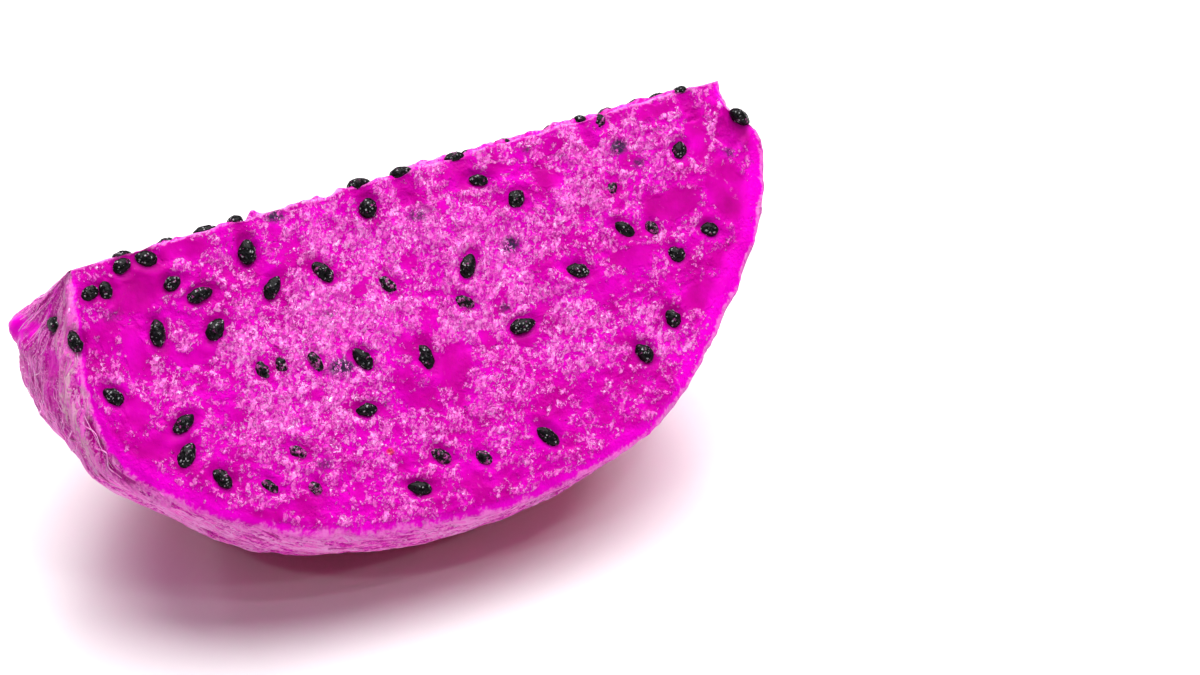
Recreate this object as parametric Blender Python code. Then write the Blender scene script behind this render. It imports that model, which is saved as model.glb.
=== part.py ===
"""A peeled quarter wedge of red-fleshed dragon fruit, lying on its curved back.

The straight ridge between the two cut faces is the fruit's own long axis. It runs along X, on
top. The near cut face dips towards -Y and the far one towards +Y, and the fibrous outer flesh
closes the wedge below. The black seeds that stand out of the flesh have grown in it, so they are
joined to it and the whole wedge is one solid.

The origin is under the middle of the wedge, on the surface that it rests on.
"""
import math
import random

import bmesh
import bpy
from mathutils import Matrix, Vector

MM = 0.001

# Size of the wedge
RIDGE_LEFT = -33.2 * MM
RIDGE_RIGHT = 32.1 * MM
NEAR_DIP = math.radians(45)
FAR_DIP = math.radians(45)
FLAT_SPOT_DEPTH = 0.5 * MM

# Outline of a cut face: turn about the ridge's middle in degrees, from the ridge's left end down
# and round to its right end, and the distance from the middle in millimetres
OUTLINE = [
    (0, 33.2), (6, 33.9), (12, 35.3), (18, 37.0), (24, 38.3), (29, 38.8), (36, 38.1), (50, 36.0),
    (62, 34.3), (76, 33.0), (90, 32.5), (105, 32.6), (118, 33.3), (137, 33.1), (151, 34.2),
    (162, 34.9), (169, 35.0), (171.5, 34.4), (174, 32.6), (177, 31.9), (180, 32.1),
]

# How far the outer flesh swells beyond that outline between the two cuts, in the same terms
SWELL = [
    (0, 0.0), (6, 1.5), (13, 3.2), (22, 2.4), (30, 1.4), (38, 1.0), (48, 1.9), (58, 2.4),
    (68, 2.2), (78, 1.7), (95, 1.0), (120, 0.6), (150, 0.6), (165, 0.4), (175, 0.1), (180, 0.0),
]
NEAR_LIP_TURN = math.radians(7)
FAR_LIP_TURN = math.radians(9)

# How much the far cut's outline is trimmed inside the near one's, in the same terms
FAR_TRIM = [(0, 0.0), (8, 0.8), (17, 2.1), (30, 1.2), (45, 0.0), (180, 0.0)]
FAR_TRIM_START = math.radians(22)

# Fibrous wrinkles that run from end to end of the outer flesh: how many of them fit in a full
# turn, height in millimetres, phase and how much they wander along the fruit
WRINKLES = [(26, 0.17, 0.4, 1.1), (41, 0.13, 2.1, -1.7), (17, 0.16, 4.0, 0.8)]

# Lumps of the torn left end: turn and lean in degrees, height and spread in millimetres
LUMPS = [
    (14.0, 33, 1.4, 2.0),
    (11.6, 6, 0.7, 1.5),
    (21, 8, 0.5, 2.6),
    (24, -19, -0.9, 2.4),
    (11.9, -29.7, -0.6, 1.7),
    (27, -34, 0.5, 1.8),
]

# Softness of the cut faces
FACE_WAVE = 0.16 * MM
RIM_DROP = 0.45 * MM
RIM_WIDTH = 0.9 * MM
RIDGE_WAVE = 0.14 * MM
THIN_END_DEPTH = 9 * MM

# Fineness of the surface
COLUMNS = 54
FACE_ROWS = 8
BACK_ROWS = 30

# Seeds
SEED_SIDES = 6
SEED_PROFILE = [(0.10, 0.62), (0.36, 1.00), (0.66, 0.78), (0.90, 0.34)]
SEED_THICKNESS = 0.78
SEED_SINK = 0.12
PROUD_SEED_SINK = -0.05
TYPICAL_SEED = (2.3, 1.4)

# Seeds standing out of the near face, as they lie in the photo: distance along the ridge and
# down the face, length and width in millimetres, and the turn of the pointed end in degrees
NEAR_SEEDS = [
    (-32.2, 2.5, 1.8, 1.5, 200), (-30.7, 2.6, 1.9, 1.3, 80), (-28.6, 0.9, 1.9, 1.4, 20),
    (-26.3, 0.9, 2.1, 1.5, 150), (-24.7, 3.7, 1.8, 1.3, 20), (-22.6, 5.4, 2.5, 1.4, 5),
    (-27.4, 7.6, 2.6, 1.5, 80), (-22.2, 8.8, 2.4, 1.6, 42), (-17.2, 2.9, 2.4, 1.7, 75),
    (-16.0, 6.7, 2.5, 1.4, 43), (-11.1, 6.6, 2.6, 1.5, 125), (-33.0, 11.9, 2.2, 1.4, 130),
    (-27.7, 16.1, 2.4, 1.4, 25), (-19.3, 13.6, 2.0, 1.5, 100), (-17.5, 13.6, 1.8, 1.3, 95),
    (-14.3, 14.3, 2.3, 1.3, 110), (-10.0, 15.3, 2.5, 1.4, 118), (-5.0, 2.2, 2.0, 1.7, 70),
    (-5.5, 9.5, 2.2, 1.3, 120), (2.4, 10.0, 2.6, 1.6, 55), (1.0, 13.1, 2.0, 1.3, 140),
    (6.0, 2.6, 1.9, 1.1, 160), (9.0, 5.3, 2.0, 1.7, 30), (12.5, 13.4, 2.4, 1.4, 155),
    (5.7, 16.8, 2.6, 1.5, 0), (-4.3, 16.8, 2.7, 1.5, 98), (19.3, 0.6, 1.5, 1.1, 240),
    (26.1, 5.3, 1.8, 1.6, 60), (18.3, 11.0, 2.3, 1.4, 135), (20.9, 11.6, 1.8, 1.3, 120),
    (26.5, 13.4, 1.9, 1.3, 160), (22.5, 14.7, 1.9, 1.5, 135), (-28.3, 18.9, 2.6, 1.6, 45),
    (-25.9, 21.8, 2.3, 1.4, 118), (-22.0, 23.8, 2.2, 1.1, 130), (-18.6, 21.6, 2.2, 1.2, 140),
    (-11.2, 19.9, 2.1, 1.2, 170), (-5.8, 26.0, 2.2, 1.3, 135), (-1.9, 27.3, 2.0, 1.4, 120),
    (-8.7, 28.2, 2.4, 1.3, 155), (4.6, 27.3, 2.7, 1.4, 127), (20.1, 20.4, 1.9, 1.5, 110),
    (16.3, 22.7, 2.2, 1.5, 120), (-18.1, 25.2, 1.7, 1.2, 120), (18.4, 7.0, 1.5, 1.1, 40),
]

# Seeds of the far face that show over the ridge, in the same terms
FAR_RIDGE_SEEDS = [
    (-20.0, 1.3, 2.4, 1.4, 5), (-17.2, 1.1, 2.0, 1.6, 80), (-4.9, 1.0, 2.6, 1.9, 20),
    (-0.7, 0.9, 2.4, 1.7, 15), (4.6, 0.6, 2.1, 1.4, 0), (6.6, 2.0, 2.0, 1.4, 30),
    (9.6, 1.2, 2.0, 1.4, 170), (15.2, 1.9, 2.3, 1.5, 20), (17.6, 1.2, 2.2, 1.5, 110),
    (20.8, 1.6, 2.3, 1.5, 45), (23.8, 1.4, 2.4, 1.5, 175), (26.4, 1.7, 2.4, 1.5, 10),
    (28.3, 0.9, 1.9, 1.4, 95), (-23.8, 2.4, 2.2, 1.4, 150), (-27.9, 2.0, 2.3, 1.4, 30),
]

# Seeds of the rest of the far face, which keep a distance from each other
FAR_SEED_COUNT = 30
FAR_SEED_SPACING = 4.2 * MM
FAR_SEED_RIDGE_MARGIN = 5.0 * MM
FAR_SEED_RIM_MARGIN = 3.2 * MM
RANDOM_SEED = 23

# Seeds on the wedge's edges and outer flesh: turn and lean in degrees, length and width in
# millimetres, and the turn of the pointed end from the fruit's length in degrees
BACK_SEEDS = [
    (7.3, -17.4, 2.3, 1.4, 100),
    (10.1, -43.6, 2.2, 1.3, 96),
    (173, -43, 2.7, 1.8, 20),
    (64, 18, 2.3, 1.4, 15),
    (128, 30, 2.3, 1.4, 160),
]

FLESH_COLOUR = (0.72, 0.0, 0.42, 1.0)
FLESH_ROUGHNESS = 0.28
SEED_COLOUR = (0.012, 0.009, 0.012, 1.0)
SEED_ROUGHNESS = 0.22


def start_empty():
    for thing in list(bpy.data.objects):
        bpy.data.objects.remove(thing, do_unlink=True)


def make_material(name, colour, roughness):
    material = bpy.data.materials.new(name)
    material.use_nodes = True
    shader = material.node_tree.nodes["Principled BSDF"]
    shader.inputs["Base Color"].default_value = colour
    shader.inputs["Roughness"].default_value = roughness
    shader.inputs["Metallic"].default_value = 0.0
    material.diffuse_color = colour
    return material


def curve_at(points, where):
    """Value at `where` of the smooth curve through a list of (place, value) points."""
    last = len(points) - 1
    step = next((i for i in range(last) if where <= points[i + 1][0]), last - 1)
    start, start_value = points[step]
    end, end_value = points[step + 1]
    before, before_value = points[max(step - 1, 0)]
    after, after_value = points[min(step + 2, last)]
    span = end - start
    start_slope = (end_value - before_value) / (end - before) * span
    end_slope = (after_value - start_value) / (after - start) * span
    t = (where - start) / span
    return (
        start_value * (2 * t**3 - 3 * t**2 + 1)
        + start_slope * (t**3 - 2 * t**2 + t)
        + end_value * (3 * t**2 - 2 * t**3)
        + end_slope * (t**3 - t**2)
    )


def smooth_step(low, high, value):
    share = min(max((value - low) / (high - low), 0.0), 1.0)
    return share * share * (3 - 2 * share)


def on_plane(turn, lean, radius):
    """Point at a distance from the ridge's middle. `turn` goes from the ridge's left end down to
    its right end, and `lean` from the near cut (negative) to the far cut (positive)."""
    depth = radius * math.sin(turn)
    return Vector((
        -radius * math.cos(turn),
        depth * math.sin(lean),
        -depth * math.cos(lean),
    ))


def plain_radius(turn, lean):
    """Distance from the ridge's middle to the outer flesh, without wrinkles and lumps."""
    degrees = math.degrees(turn)
    near_share = 1 - math.exp(-(lean + NEAR_DIP) / NEAR_LIP_TURN)
    far_share = 1 - math.exp(-(FAR_DIP - lean) / FAR_LIP_TURN)
    trim = curve_at(FAR_TRIM, degrees) * smooth_step(FAR_TRIM_START, FAR_DIP, lean)
    swell = curve_at(SWELL, degrees) * near_share * far_share
    return (curve_at(OUTLINE, degrees) + swell - trim) * MM


def outer_radius(turn, lean):
    radius = plain_radius(turn, lean)
    clear_of_cuts = smooth_step(0, math.radians(8), min(lean + NEAR_DIP, FAR_DIP - lean))
    clear_of_ends = math.sin(turn) ** 0.5
    wrinkle = sum(
        height * math.sin(count * lean + phase + wander * math.sin(2.3 * turn + phase))
        for count, height, phase, wander in WRINKLES
    )
    radius += wrinkle * clear_of_cuts * clear_of_ends * MM
    here = on_plane(turn, lean, radius)
    for lump_turn, lump_lean, height, spread in LUMPS:
        place = (math.radians(lump_turn), math.radians(lump_lean))
        centre = on_plane(*place, plain_radius(*place))
        radius += height * MM * math.exp(-((here - centre).length / (spread * MM)) ** 2)
    return radius


def ridge_point(share):
    along = RIDGE_LEFT + (RIDGE_RIGHT - RIDGE_LEFT) * share
    ends = math.sin(math.pi * share)
    jagged = math.sin(along / MM * 0.93) + math.sin(along / MM * 1.71 + 1.0)
    return Vector((along, 0.0, jagged * RIDGE_WAVE * ends))


def face_normal(lean):
    """Outward normal of the cut face at that lean."""
    side = math.copysign(1.0, lean)
    return Vector((0.0, side * math.cos(lean), abs(math.sin(lean))))


def face_point(column, down, lean):
    """Point of a cut face: `down` is 0 at the ridge and 1 at the rim."""
    turn = math.pi * column / COLUMNS
    rim = on_plane(turn, lean, outer_radius(turn, lean))
    top = ridge_point(column / COLUMNS)
    point = top.lerp(rim, down)
    to_rim = (rim - point).length
    x, depth = point.x / MM, point.length / MM
    wave = math.sin(0.31 * x + 0.6) * math.sin(0.27 * depth + 1.1 + lean) * math.sin(math.pi * down)
    drop = RIM_DROP * math.exp(-((to_rim / RIM_WIDTH) ** 2))
    # The relief fades towards the ridge's ends, where the wedge is thin
    fade = min(1.0, abs(rim.z) / THIN_END_DEPTH)
    return point + face_normal(lean) * (wave * FACE_WAVE - drop) * fade


def section(column):
    """Closed loop across the fruit: ridge, near face, outer flesh, far face."""
    turn = math.pi * column / COLUMNS
    # The rows of a face crowd towards its rim, which is rounded
    downs = [1 - (1 - row / FACE_ROWS) ** 1.6 for row in range(FACE_ROWS + 1)]
    near = [face_point(column, down, -NEAR_DIP) for down in downs]
    far = [face_point(column, down, FAR_DIP) for down in reversed(downs[1:])]
    back = []
    for row in range(1, BACK_ROWS):
        lean = -NEAR_DIP + (NEAR_DIP + FAR_DIP) * row / BACK_ROWS
        back.append(on_plane(turn, lean, outer_radius(turn, lean)))
    return near + back + far


def make_flesh():
    """Loft the sections from the left end to the right end of the ridge."""
    mesh = bmesh.new()
    loops = [[mesh.verts.new(p) for p in section(column)] for column in range(1, COLUMNS)]
    for loop, following in zip(loops, loops[1:]):
        for i in range(len(loop)):
            j = (i + 1) % len(loop)
            mesh.faces.new((loop[i], loop[j], following[j], following[i]))
    for tip_at, loop in ((ridge_point(0), loops[0]), (ridge_point(1), loops[-1])):
        tip = mesh.verts.new(tip_at)
        for i in range(len(loop)):
            mesh.faces.new((tip, loop[i], loop[(i + 1) % len(loop)]))
    flatten_underside(mesh)
    bmesh.ops.triangulate(mesh, faces=mesh.faces[:])
    bmesh.ops.recalc_face_normals(mesh, faces=mesh.faces[:])
    data = bpy.data.meshes.new("fruit_wedge")
    mesh.to_mesh(data)
    mesh.free()
    flesh = bpy.data.objects.new("fruit_wedge", data)
    bpy.context.scene.collection.objects.link(flesh)
    data.materials.append(make_material("dragon_fruit_flesh", FLESH_COLOUR, FLESH_ROUGHNESS))
    return flesh


def flatten_underside(mesh):
    """The flesh gives way where it rests: its lowest part becomes a small flat spot."""
    floor = min(vert.co.z for vert in mesh.verts) + FLAT_SPOT_DEPTH
    for vert in mesh.verts:
        vert.co.z = max(vert.co.z, floor)


def seed_mesh(length, width):
    """A teardrop along +X, its blunt end at -X."""
    mesh = bmesh.new()
    blunt = mesh.verts.new((-length / 2, 0, 0))
    rings = []
    for along, fullness in SEED_PROFILE:
        ring = []
        for side in range(SEED_SIDES):
            angle = 2 * math.pi * (side + 0.5) / SEED_SIDES
            ring.append(mesh.verts.new((
                (along - 0.5) * length,
                math.cos(angle) * fullness * width / 2,
                math.sin(angle) * fullness * width / 2 * SEED_THICKNESS,
            )))
        rings.append(ring)
    point = mesh.verts.new((length / 2, 0, 0))
    for side in range(SEED_SIDES):
        following = (side + 1) % SEED_SIDES
        mesh.faces.new((blunt, rings[0][side], rings[0][following]))
        mesh.faces.new((point, rings[-1][following], rings[-1][side]))
        for ring, next_ring in zip(rings, rings[1:]):
            mesh.faces.new((ring[side], next_ring[side], next_ring[following], ring[following]))
    bmesh.ops.recalc_face_normals(mesh, faces=mesh.faces[:])
    data = bpy.data.meshes.new("seed")
    mesh.to_mesh(data)
    mesh.free()
    return data


def add_seed(seeds, material, place, out, along, size, turn, sink=SEED_SINK):
    """Lay a seed on the surface at `place`, with its pointed end turned from `along` about
    the outward direction, and sink it by a share of its width."""
    length, width = size[0] * MM, size[1] * MM
    data = seed_mesh(length, width)
    data.materials.append(material)
    seed = bpy.data.objects.new("seed", data)
    across = out.cross(along).normalized()
    along = across.cross(out).normalized()
    upright = Matrix((along, across, out)).transposed().to_4x4()
    sunk = place - out * (width * sink)
    seed.matrix_world = Matrix.Translation(sunk) @ upright @ Matrix.Rotation(turn, 4, "Z")
    seeds.objects.link(seed)


def face_place(x, down, lean):
    depth = down * MM
    return Vector((x * MM, depth * math.sin(lean), -depth * math.cos(lean)))


def far_seed_places():
    """Random places on the far face that keep clear of each other, the ridge and the rim."""
    draw = random.Random(RANDOM_SEED)
    places = []
    while len(places) < FAR_SEED_COUNT:
        turn = math.acos(draw.uniform(-1, 1))
        rim = outer_radius(turn, FAR_DIP) - FAR_SEED_RIM_MARGIN
        radius = rim * math.sqrt(draw.random())
        place = on_plane(turn, FAR_DIP, radius)
        depth = radius * math.sin(turn)
        clear = all((place - other).length > FAR_SEED_SPACING for other, _ in places)
        if clear and depth > FAR_SEED_RIDGE_MARGIN:
            places.append((place, draw.uniform(0, math.tau)))
    return places


def outward(turn, lean):
    """Outward direction of the outer flesh there."""
    step = math.radians(1.5)

    def point(t, l):
        return on_plane(t, l, plain_radius(t, l))

    along = point(turn + step, lean) - point(turn - step, lean)
    around = point(turn, lean + step) - point(turn, lean - step)
    out = along.cross(around).normalized()
    return out if out.dot(point(turn, lean)) > 0 else -out


def add_seeds(seeds, material):
    length_way = Vector((1, 0, 0))
    listed = (
        (NEAR_SEEDS, -NEAR_DIP, SEED_SINK),
        (FAR_RIDGE_SEEDS, FAR_DIP, PROUD_SEED_SINK),
    )
    for rows, lean, sink in listed:
        out = face_normal(lean)
        for x, down, length, width, degrees in rows:
            place = face_place(x, down, lean)
            turn = math.radians(degrees)
            add_seed(seeds, material, place, out, length_way, (length, width), turn, sink)
    for place, turn in far_seed_places():
        add_seed(seeds, material, place, face_normal(FAR_DIP), length_way, TYPICAL_SEED, turn)
    for place_turn, place_lean, length, width, degrees in BACK_SEEDS:
        where = (math.radians(place_turn), math.radians(place_lean))
        place = on_plane(*where, outer_radius(*where))
        turn = math.radians(degrees)
        add_seed(seeds, material, place, outward(*where), length_way, (length, width), turn)


def join_seeds(flesh):
    """Grow the seeds out of the flesh with one union."""
    seeds = bpy.data.collections.new("seeds")
    bpy.context.scene.collection.children.link(seeds)
    add_seeds(seeds, make_material("dragon_fruit_seed", SEED_COLOUR, SEED_ROUGHNESS))
    union = flesh.modifiers.new("grown_seeds", "BOOLEAN")
    union.operation = "UNION"
    union.operand_type = "COLLECTION"
    union.collection = seeds
    union.material_mode = "TRANSFER"
    bpy.context.view_layer.objects.active = flesh
    bpy.ops.object.modifier_apply(modifier=union.name)
    for seed in list(seeds.objects):
        bpy.data.objects.remove(seed, do_unlink=True)
    bpy.data.collections.remove(seeds)


def stand_on_origin(flesh):
    """Move the origin under the middle of the wedge, on the plane of the flat spot."""
    points = [vert.co for vert in flesh.data.vertices]
    low = Vector(min(p[axis] for p in points) for axis in range(3))
    high = Vector(max(p[axis] for p in points) for axis in range(3))
    middle = Vector(((low.x + high.x) / 2, (low.y + high.y) / 2, low.z))
    flesh.data.transform(Matrix.Translation(-middle))


def shade(flesh):
    flesh.data.shade_smooth()
    flesh.data.set_sharp_from_angle(angle=math.radians(28))


start_empty()
wedge = make_flesh()
join_seeds(wedge)
stand_on_origin(wedge)
shade(wedge)
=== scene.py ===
# %% [markdown]
# # A peeled quarter wedge of red-fleshed dragon fruit
#
# A dragon fruit is ripe flesh with hundreds of small black seeds in it, held in a leathery peel.
# This one is peeled and cut lengthwise into quarters. The wedge lies on its round back: two flat
# cut faces meet in a straight ridge on top, and below them is the fibrous outer flesh that the
# peel was pulled from. The solid part brings the size and the main form. This script puts a
# finer skin of flesh, seeds and fibres over it, in the same frame, and leaves the solid as it is.

import itertools
import math
import random

import bpy
import numpy as np
from mathutils import Matrix, Vector


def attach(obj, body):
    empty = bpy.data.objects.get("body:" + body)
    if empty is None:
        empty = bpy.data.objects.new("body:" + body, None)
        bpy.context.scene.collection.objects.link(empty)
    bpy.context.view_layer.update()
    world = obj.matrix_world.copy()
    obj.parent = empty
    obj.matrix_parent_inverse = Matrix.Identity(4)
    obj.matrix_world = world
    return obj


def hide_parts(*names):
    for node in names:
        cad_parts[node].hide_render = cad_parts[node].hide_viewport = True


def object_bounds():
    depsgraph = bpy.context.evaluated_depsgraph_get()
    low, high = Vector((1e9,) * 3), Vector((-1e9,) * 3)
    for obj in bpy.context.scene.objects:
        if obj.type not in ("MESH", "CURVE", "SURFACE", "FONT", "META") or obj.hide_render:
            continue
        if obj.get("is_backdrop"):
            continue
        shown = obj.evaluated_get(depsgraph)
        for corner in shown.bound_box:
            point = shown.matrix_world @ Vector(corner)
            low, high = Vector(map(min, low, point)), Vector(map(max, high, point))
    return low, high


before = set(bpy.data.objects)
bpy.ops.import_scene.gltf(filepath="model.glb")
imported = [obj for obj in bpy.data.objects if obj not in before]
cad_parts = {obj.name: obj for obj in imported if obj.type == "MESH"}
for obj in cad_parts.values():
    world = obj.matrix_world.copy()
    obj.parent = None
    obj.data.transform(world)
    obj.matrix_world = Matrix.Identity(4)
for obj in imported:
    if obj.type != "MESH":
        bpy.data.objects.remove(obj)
solid_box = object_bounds()
MM = 0.001
print("solid wedge, mm:", [round(side / MM, 1) for side in solid_box[1] - solid_box[0]])

# %% [markdown]
# ## Where things are on a wedge
#
# A wedge is easy to describe from the middle of its ridge. One angle, the turn, goes along a cut
# face from the ridge's left end down to its right end. A second one, the lean, swings from the
# near cut to the far cut. A distance then gives any point of the outer flesh. The same two angles
# also follow the fibres, which run from end to end of the real fruit, so they serve for the
# relief and the colour too. Lengths here are millimetres from the middle of the ridge.

# %% Points by turn and lean
NEAR, FAR = math.radians(-45), math.radians(45)
RIDGE_MIDDLE = Vector((1.743, -0.056, 33.426)) * MM
RIDGE_LEFT, RIDGE_RIGHT = -33.2, 32.1


def on_plane(turn, lean, radius):
    """Points at a distance from the ridge's middle."""
    depth = radius * np.sin(turn)
    parts = (-radius * np.cos(turn), depth * np.sin(lean), -depth * np.cos(lean))
    return np.stack(np.broadcast_arrays(*parts), axis=-1)


def length_of(vectors):
    return np.sqrt((vectors**2).sum(axis=-1))


def smooth_step(low, high, value):
    share = np.clip((value - low) / (high - low), 0, 1)
    return share * share * (3 - 2 * share)


def falloff(gap, reach):
    """1 where there is no gap, and next to nothing at twice the reach."""
    return np.exp(-((gap / reach) ** 2))


def curve_at(points, where):
    """Values at `where` of the smooth curve through a list of (place, value) points."""
    places, values = np.array(points, float).T
    step = np.clip(np.searchsorted(places, where) - 1, 0, len(places) - 2)
    before, after = np.maximum(step - 1, 0), np.minimum(step + 2, len(places) - 1)
    start, end = values[step], values[step + 1]
    span = places[step + 1] - places[step]
    start_slope = (end - values[before]) / (places[step + 1] - places[before]) * span
    end_slope = (values[after] - start) / (places[after] - places[step]) * span
    t = (where - places[step]) / span
    blend = 3 * t**2 - 2 * t**3
    return (
        start * (1 - blend) + end * blend
        + start_slope * (t**3 - 2 * t**2 + t) + end_slope * (t**3 - t**2)
    )


print("ridge length, mm:", RIDGE_RIGHT - RIDGE_LEFT)

# %% [markdown]
# ## The form of the wedge
#
# The cut outline is a lopsided half oval: the stem end bulges and ends in a torn point, and the
# other end is clipped short. Between the cuts the flesh swells a little beyond that outline,
# wrinkles along its fibres, and has lumps where it was torn from the peel. It could be sculpted
# by hand, but the numbers of the solid part already say all this, so the fine skin starts from
# the very same curves and can't drift away from the part's form.

# %% Outline, swelling, wrinkles and lumps
OUTLINE = [
    (0, 33.2), (6, 33.9), (12, 35.3), (18, 37.0), (24, 38.3), (29, 38.8), (36, 38.1), (50, 36.0),
    (62, 34.3), (76, 33.0), (90, 32.5), (105, 32.6), (118, 33.3), (137, 33.1), (151, 34.2),
    (162, 34.9), (169, 35.0), (171.5, 34.4), (174, 32.6), (177, 31.9), (180, 32.1),
]
SWELL = [
    (0, 0.0), (6, 1.5), (13, 3.2), (22, 2.4), (30, 1.4), (38, 1.0), (48, 1.9), (58, 2.4),
    (68, 2.2), (78, 1.7), (95, 1.0), (120, 0.6), (150, 0.6), (165, 0.4), (175, 0.1), (180, 0.0),
]
FAR_TRIM = [(0, 0.0), (8, 0.8), (17, 2.1), (30, 1.2), (45, 0.0), (180, 0.0)]
# How many wrinkles fit in a full turn, their height, phase and wander
WRINKLES = [(26, 0.17, 0.4, 1.1), (41, 0.13, 2.1, -1.7), (17, 0.16, 4.0, 0.8)]
# Turn and lean in degrees, height and spread in millimetres
LUMPS = [
    (14.0, 33, 1.4, 2.0), (11.6, 6, 0.7, 1.5), (21, 8, 0.5, 2.6),
    (24, -19, -0.9, 2.4), (11.9, -29.7, -0.6, 1.7), (27, -34, 0.5, 1.8),
]


def plain_radius(turn, lean):
    """Distance from the ridge's middle to the outer flesh, without wrinkles and lumps."""
    degrees = np.degrees(turn)
    near_share = 1 - np.exp(-(lean - NEAR) / math.radians(7))
    far_share = 1 - np.exp(-(FAR - lean) / math.radians(9))
    trim = curve_at(FAR_TRIM, degrees) * smooth_step(math.radians(22), FAR, lean)
    return curve_at(OUTLINE, degrees) + curve_at(SWELL, degrees) * near_share * far_share - trim


def outer_radius(turn, lean):
    radius = plain_radius(turn, lean)
    wrinkle = sum(
        height * np.sin(count * lean + phase + wander * np.sin(2.3 * turn + phase))
        for count, height, phase, wander in WRINKLES
    )
    clear_of_cuts = smooth_step(0, math.radians(8), np.minimum(lean - NEAR, FAR - lean))
    radius = radius + wrinkle * clear_of_cuts * np.sin(turn) ** 0.5
    here = on_plane(turn, lean, radius)
    for lump_turn, lump_lean, height, spread in LUMPS:
        place = (math.radians(lump_turn), math.radians(lump_lean))
        centre = on_plane(*place, plain_radius(*place))
        radius = radius + height * falloff(length_of(here - centre), spread)
    return radius


def back_place(turn_degrees, lean_degrees):
    """Point of the outer flesh at a turn and a lean in degrees."""
    turn, lean = math.radians(turn_degrees), math.radians(lean_degrees)
    return on_plane(turn, lean, outer_radius(turn, lean))


print("deepest cut, mm:", round(float(outer_radius(math.pi / 2, NEAR)), 1))

# %% [markdown]
# ## Noise that stays put
#
# Flesh is irregular at every scale: soft swellings of half a centimetre, grains of half a
# millimetre. Random numbers alone would give static, so values are fixed to the cells of a
# lattice and blended between them. The cells are numbered, not drawn, and the same place always
# gets the same value, which keeps every run alike. Several octaves, each half as large as the
# one before, give the broken look of juicy flesh.

# %% Soft noise in numpy
LATTICE_TURN = np.array(Matrix.Rotation(0.7, 3, Vector((1.0, 2.0, 3.0))))


def cell_value(x, y, z, seed):
    """A number from -1 to 1 that belongs to one cell of the lattice."""
    mixed = (x * 73856093) ^ (y * 19349663) ^ (z * 83492791) ^ (seed * 26544357)
    for _ in range(2):
        mixed = ((mixed ^ (mixed >> 16)) & 0xFFFFFFFF) * 0x45D9F3B & 0xFFFFFFFF
    return ((mixed >> 7) & 0xFFFFFF) / 0x7FFFFF - 1


def soft_noise(points, wavelength, seed, octaves=1):
    """Smooth values from about -1 to 1 that rise and fall over the wavelength."""
    total, weights, octave_size = 0.0, 0.0, 1.0
    for octave in range(octaves):
        place = points @ LATTICE_TURN * (1 / (wavelength * octave_size)) + 13.7 * (octave + seed)
        cell = np.floor(place).astype(np.int64)
        part = place - cell
        part = part**3 * (part * (part * 6 - 15) + 10)
        value = 0.0
        for corner in itertools.product((0, 1), repeat=3):
            share = np.prod(np.where(corner, part, 1 - part), axis=-1)
            x, y, z = (cell[..., axis] + corner[axis] for axis in range(3))
            value = value + share * cell_value(x, y, z, seed + octave)
        total = total + value * octave_size
        weights += octave_size
        octave_size /= 2
    return total / weights * 1.6


sample = soft_noise(np.random.default_rng(1).uniform(-30, 30, (4000, 3)), 2.0, 5, 3)
print("noise, spread:", round(float(sample.std()), 2))

# %% [markdown]
# ## A fine net over the form
#
# The skin is one closed net of quads: 312 columns from end to end, and in each a loop that runs
# from the ridge down the near cut, round the outer flesh and up the far cut. Subdividing the
# coarse solid would work too, but a net of its own puts the rows where they are needed: a fifth
# of a millimetre apart on the near cut, where each grain shows, and closer still at the rims.
# A knife leaves a sharp rim, and soft flesh rounds it off, so the rims get a few rounds of
# smoothing along the loops and a little raggedness.

# %% Lay the net
COLUMNS = 312
NEAR_ROWS, BACK_ROWS, FAR_ROWS = 150, 110, 60
ROW_CROWDING = 1.15
BACK_CROWDING = 0.6
FACE_WAVE, RIM_DROP, RIM_WIDTH = 0.16, 0.3, 0.7
RIDGE_WAVE = 0.14
THIN_END_DEPTH = 9.0

share = (np.arange(1, COLUMNS) / COLUMNS)[:, None]
turn = np.pi * share


def ridge_points(share):
    along = RIDGE_LEFT + (RIDGE_RIGHT - RIDGE_LEFT) * share
    jagged = np.sin(along * 0.93) + np.sin(along * 1.71 + 1.0)
    height = jagged * RIDGE_WAVE * np.sin(np.pi * share)
    return np.stack((along, np.zeros_like(along), height), axis=-1)


def face_normal(lean):
    return np.array((0.0, math.copysign(math.cos(lean), lean), abs(math.sin(lean))))


def face_points(rows, lean):
    """Points of a cut face, from the ridge to the rim."""
    down = 1 - (1 - np.arange(rows + 1) / rows) ** ROW_CROWDING
    rim = on_plane(turn, lean, outer_radius(turn, lean))
    top = ridge_points(share)
    point = top + (rim - top) * down[None, :, None]
    to_rim, depth = length_of(rim - point), length_of(point)
    wave = np.sin(0.31 * point[..., 0] + 0.6) * np.sin(0.27 * depth + 1.1 + lean)
    height = wave * np.sin(np.pi * down) * FACE_WAVE
    height = height - RIM_DROP * falloff(to_rim, RIM_WIDTH)
    fade = np.minimum(1, np.abs(rim[..., 2]) / THIN_END_DEPTH)
    return point + face_normal(lean) * (height * fade)[..., None]


back_share = np.arange(1, BACK_ROWS) / BACK_ROWS
back_share = back_share - BACK_CROWDING * np.sin(2 * np.pi * back_share) / (2 * np.pi)
back_lean = (NEAR + (FAR - NEAR) * back_share)[None, :]
net = np.concatenate((
    face_points(NEAR_ROWS, NEAR),
    on_plane(turn, back_lean, outer_radius(turn, back_lean)),
    face_points(FAR_ROWS, FAR)[:, :0:-1],
), axis=1)
NEAR_RIM, FAR_RIM = NEAR_ROWS, NEAR_ROWS + BACK_ROWS
row = np.arange(net.shape[1])[None, :]
print("net of", net.shape[0], "by", net.shape[1], "points")

# %% Round the rims
RIM_ROUNDING = 0.6
ROUNDING_STEPS = 14
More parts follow.
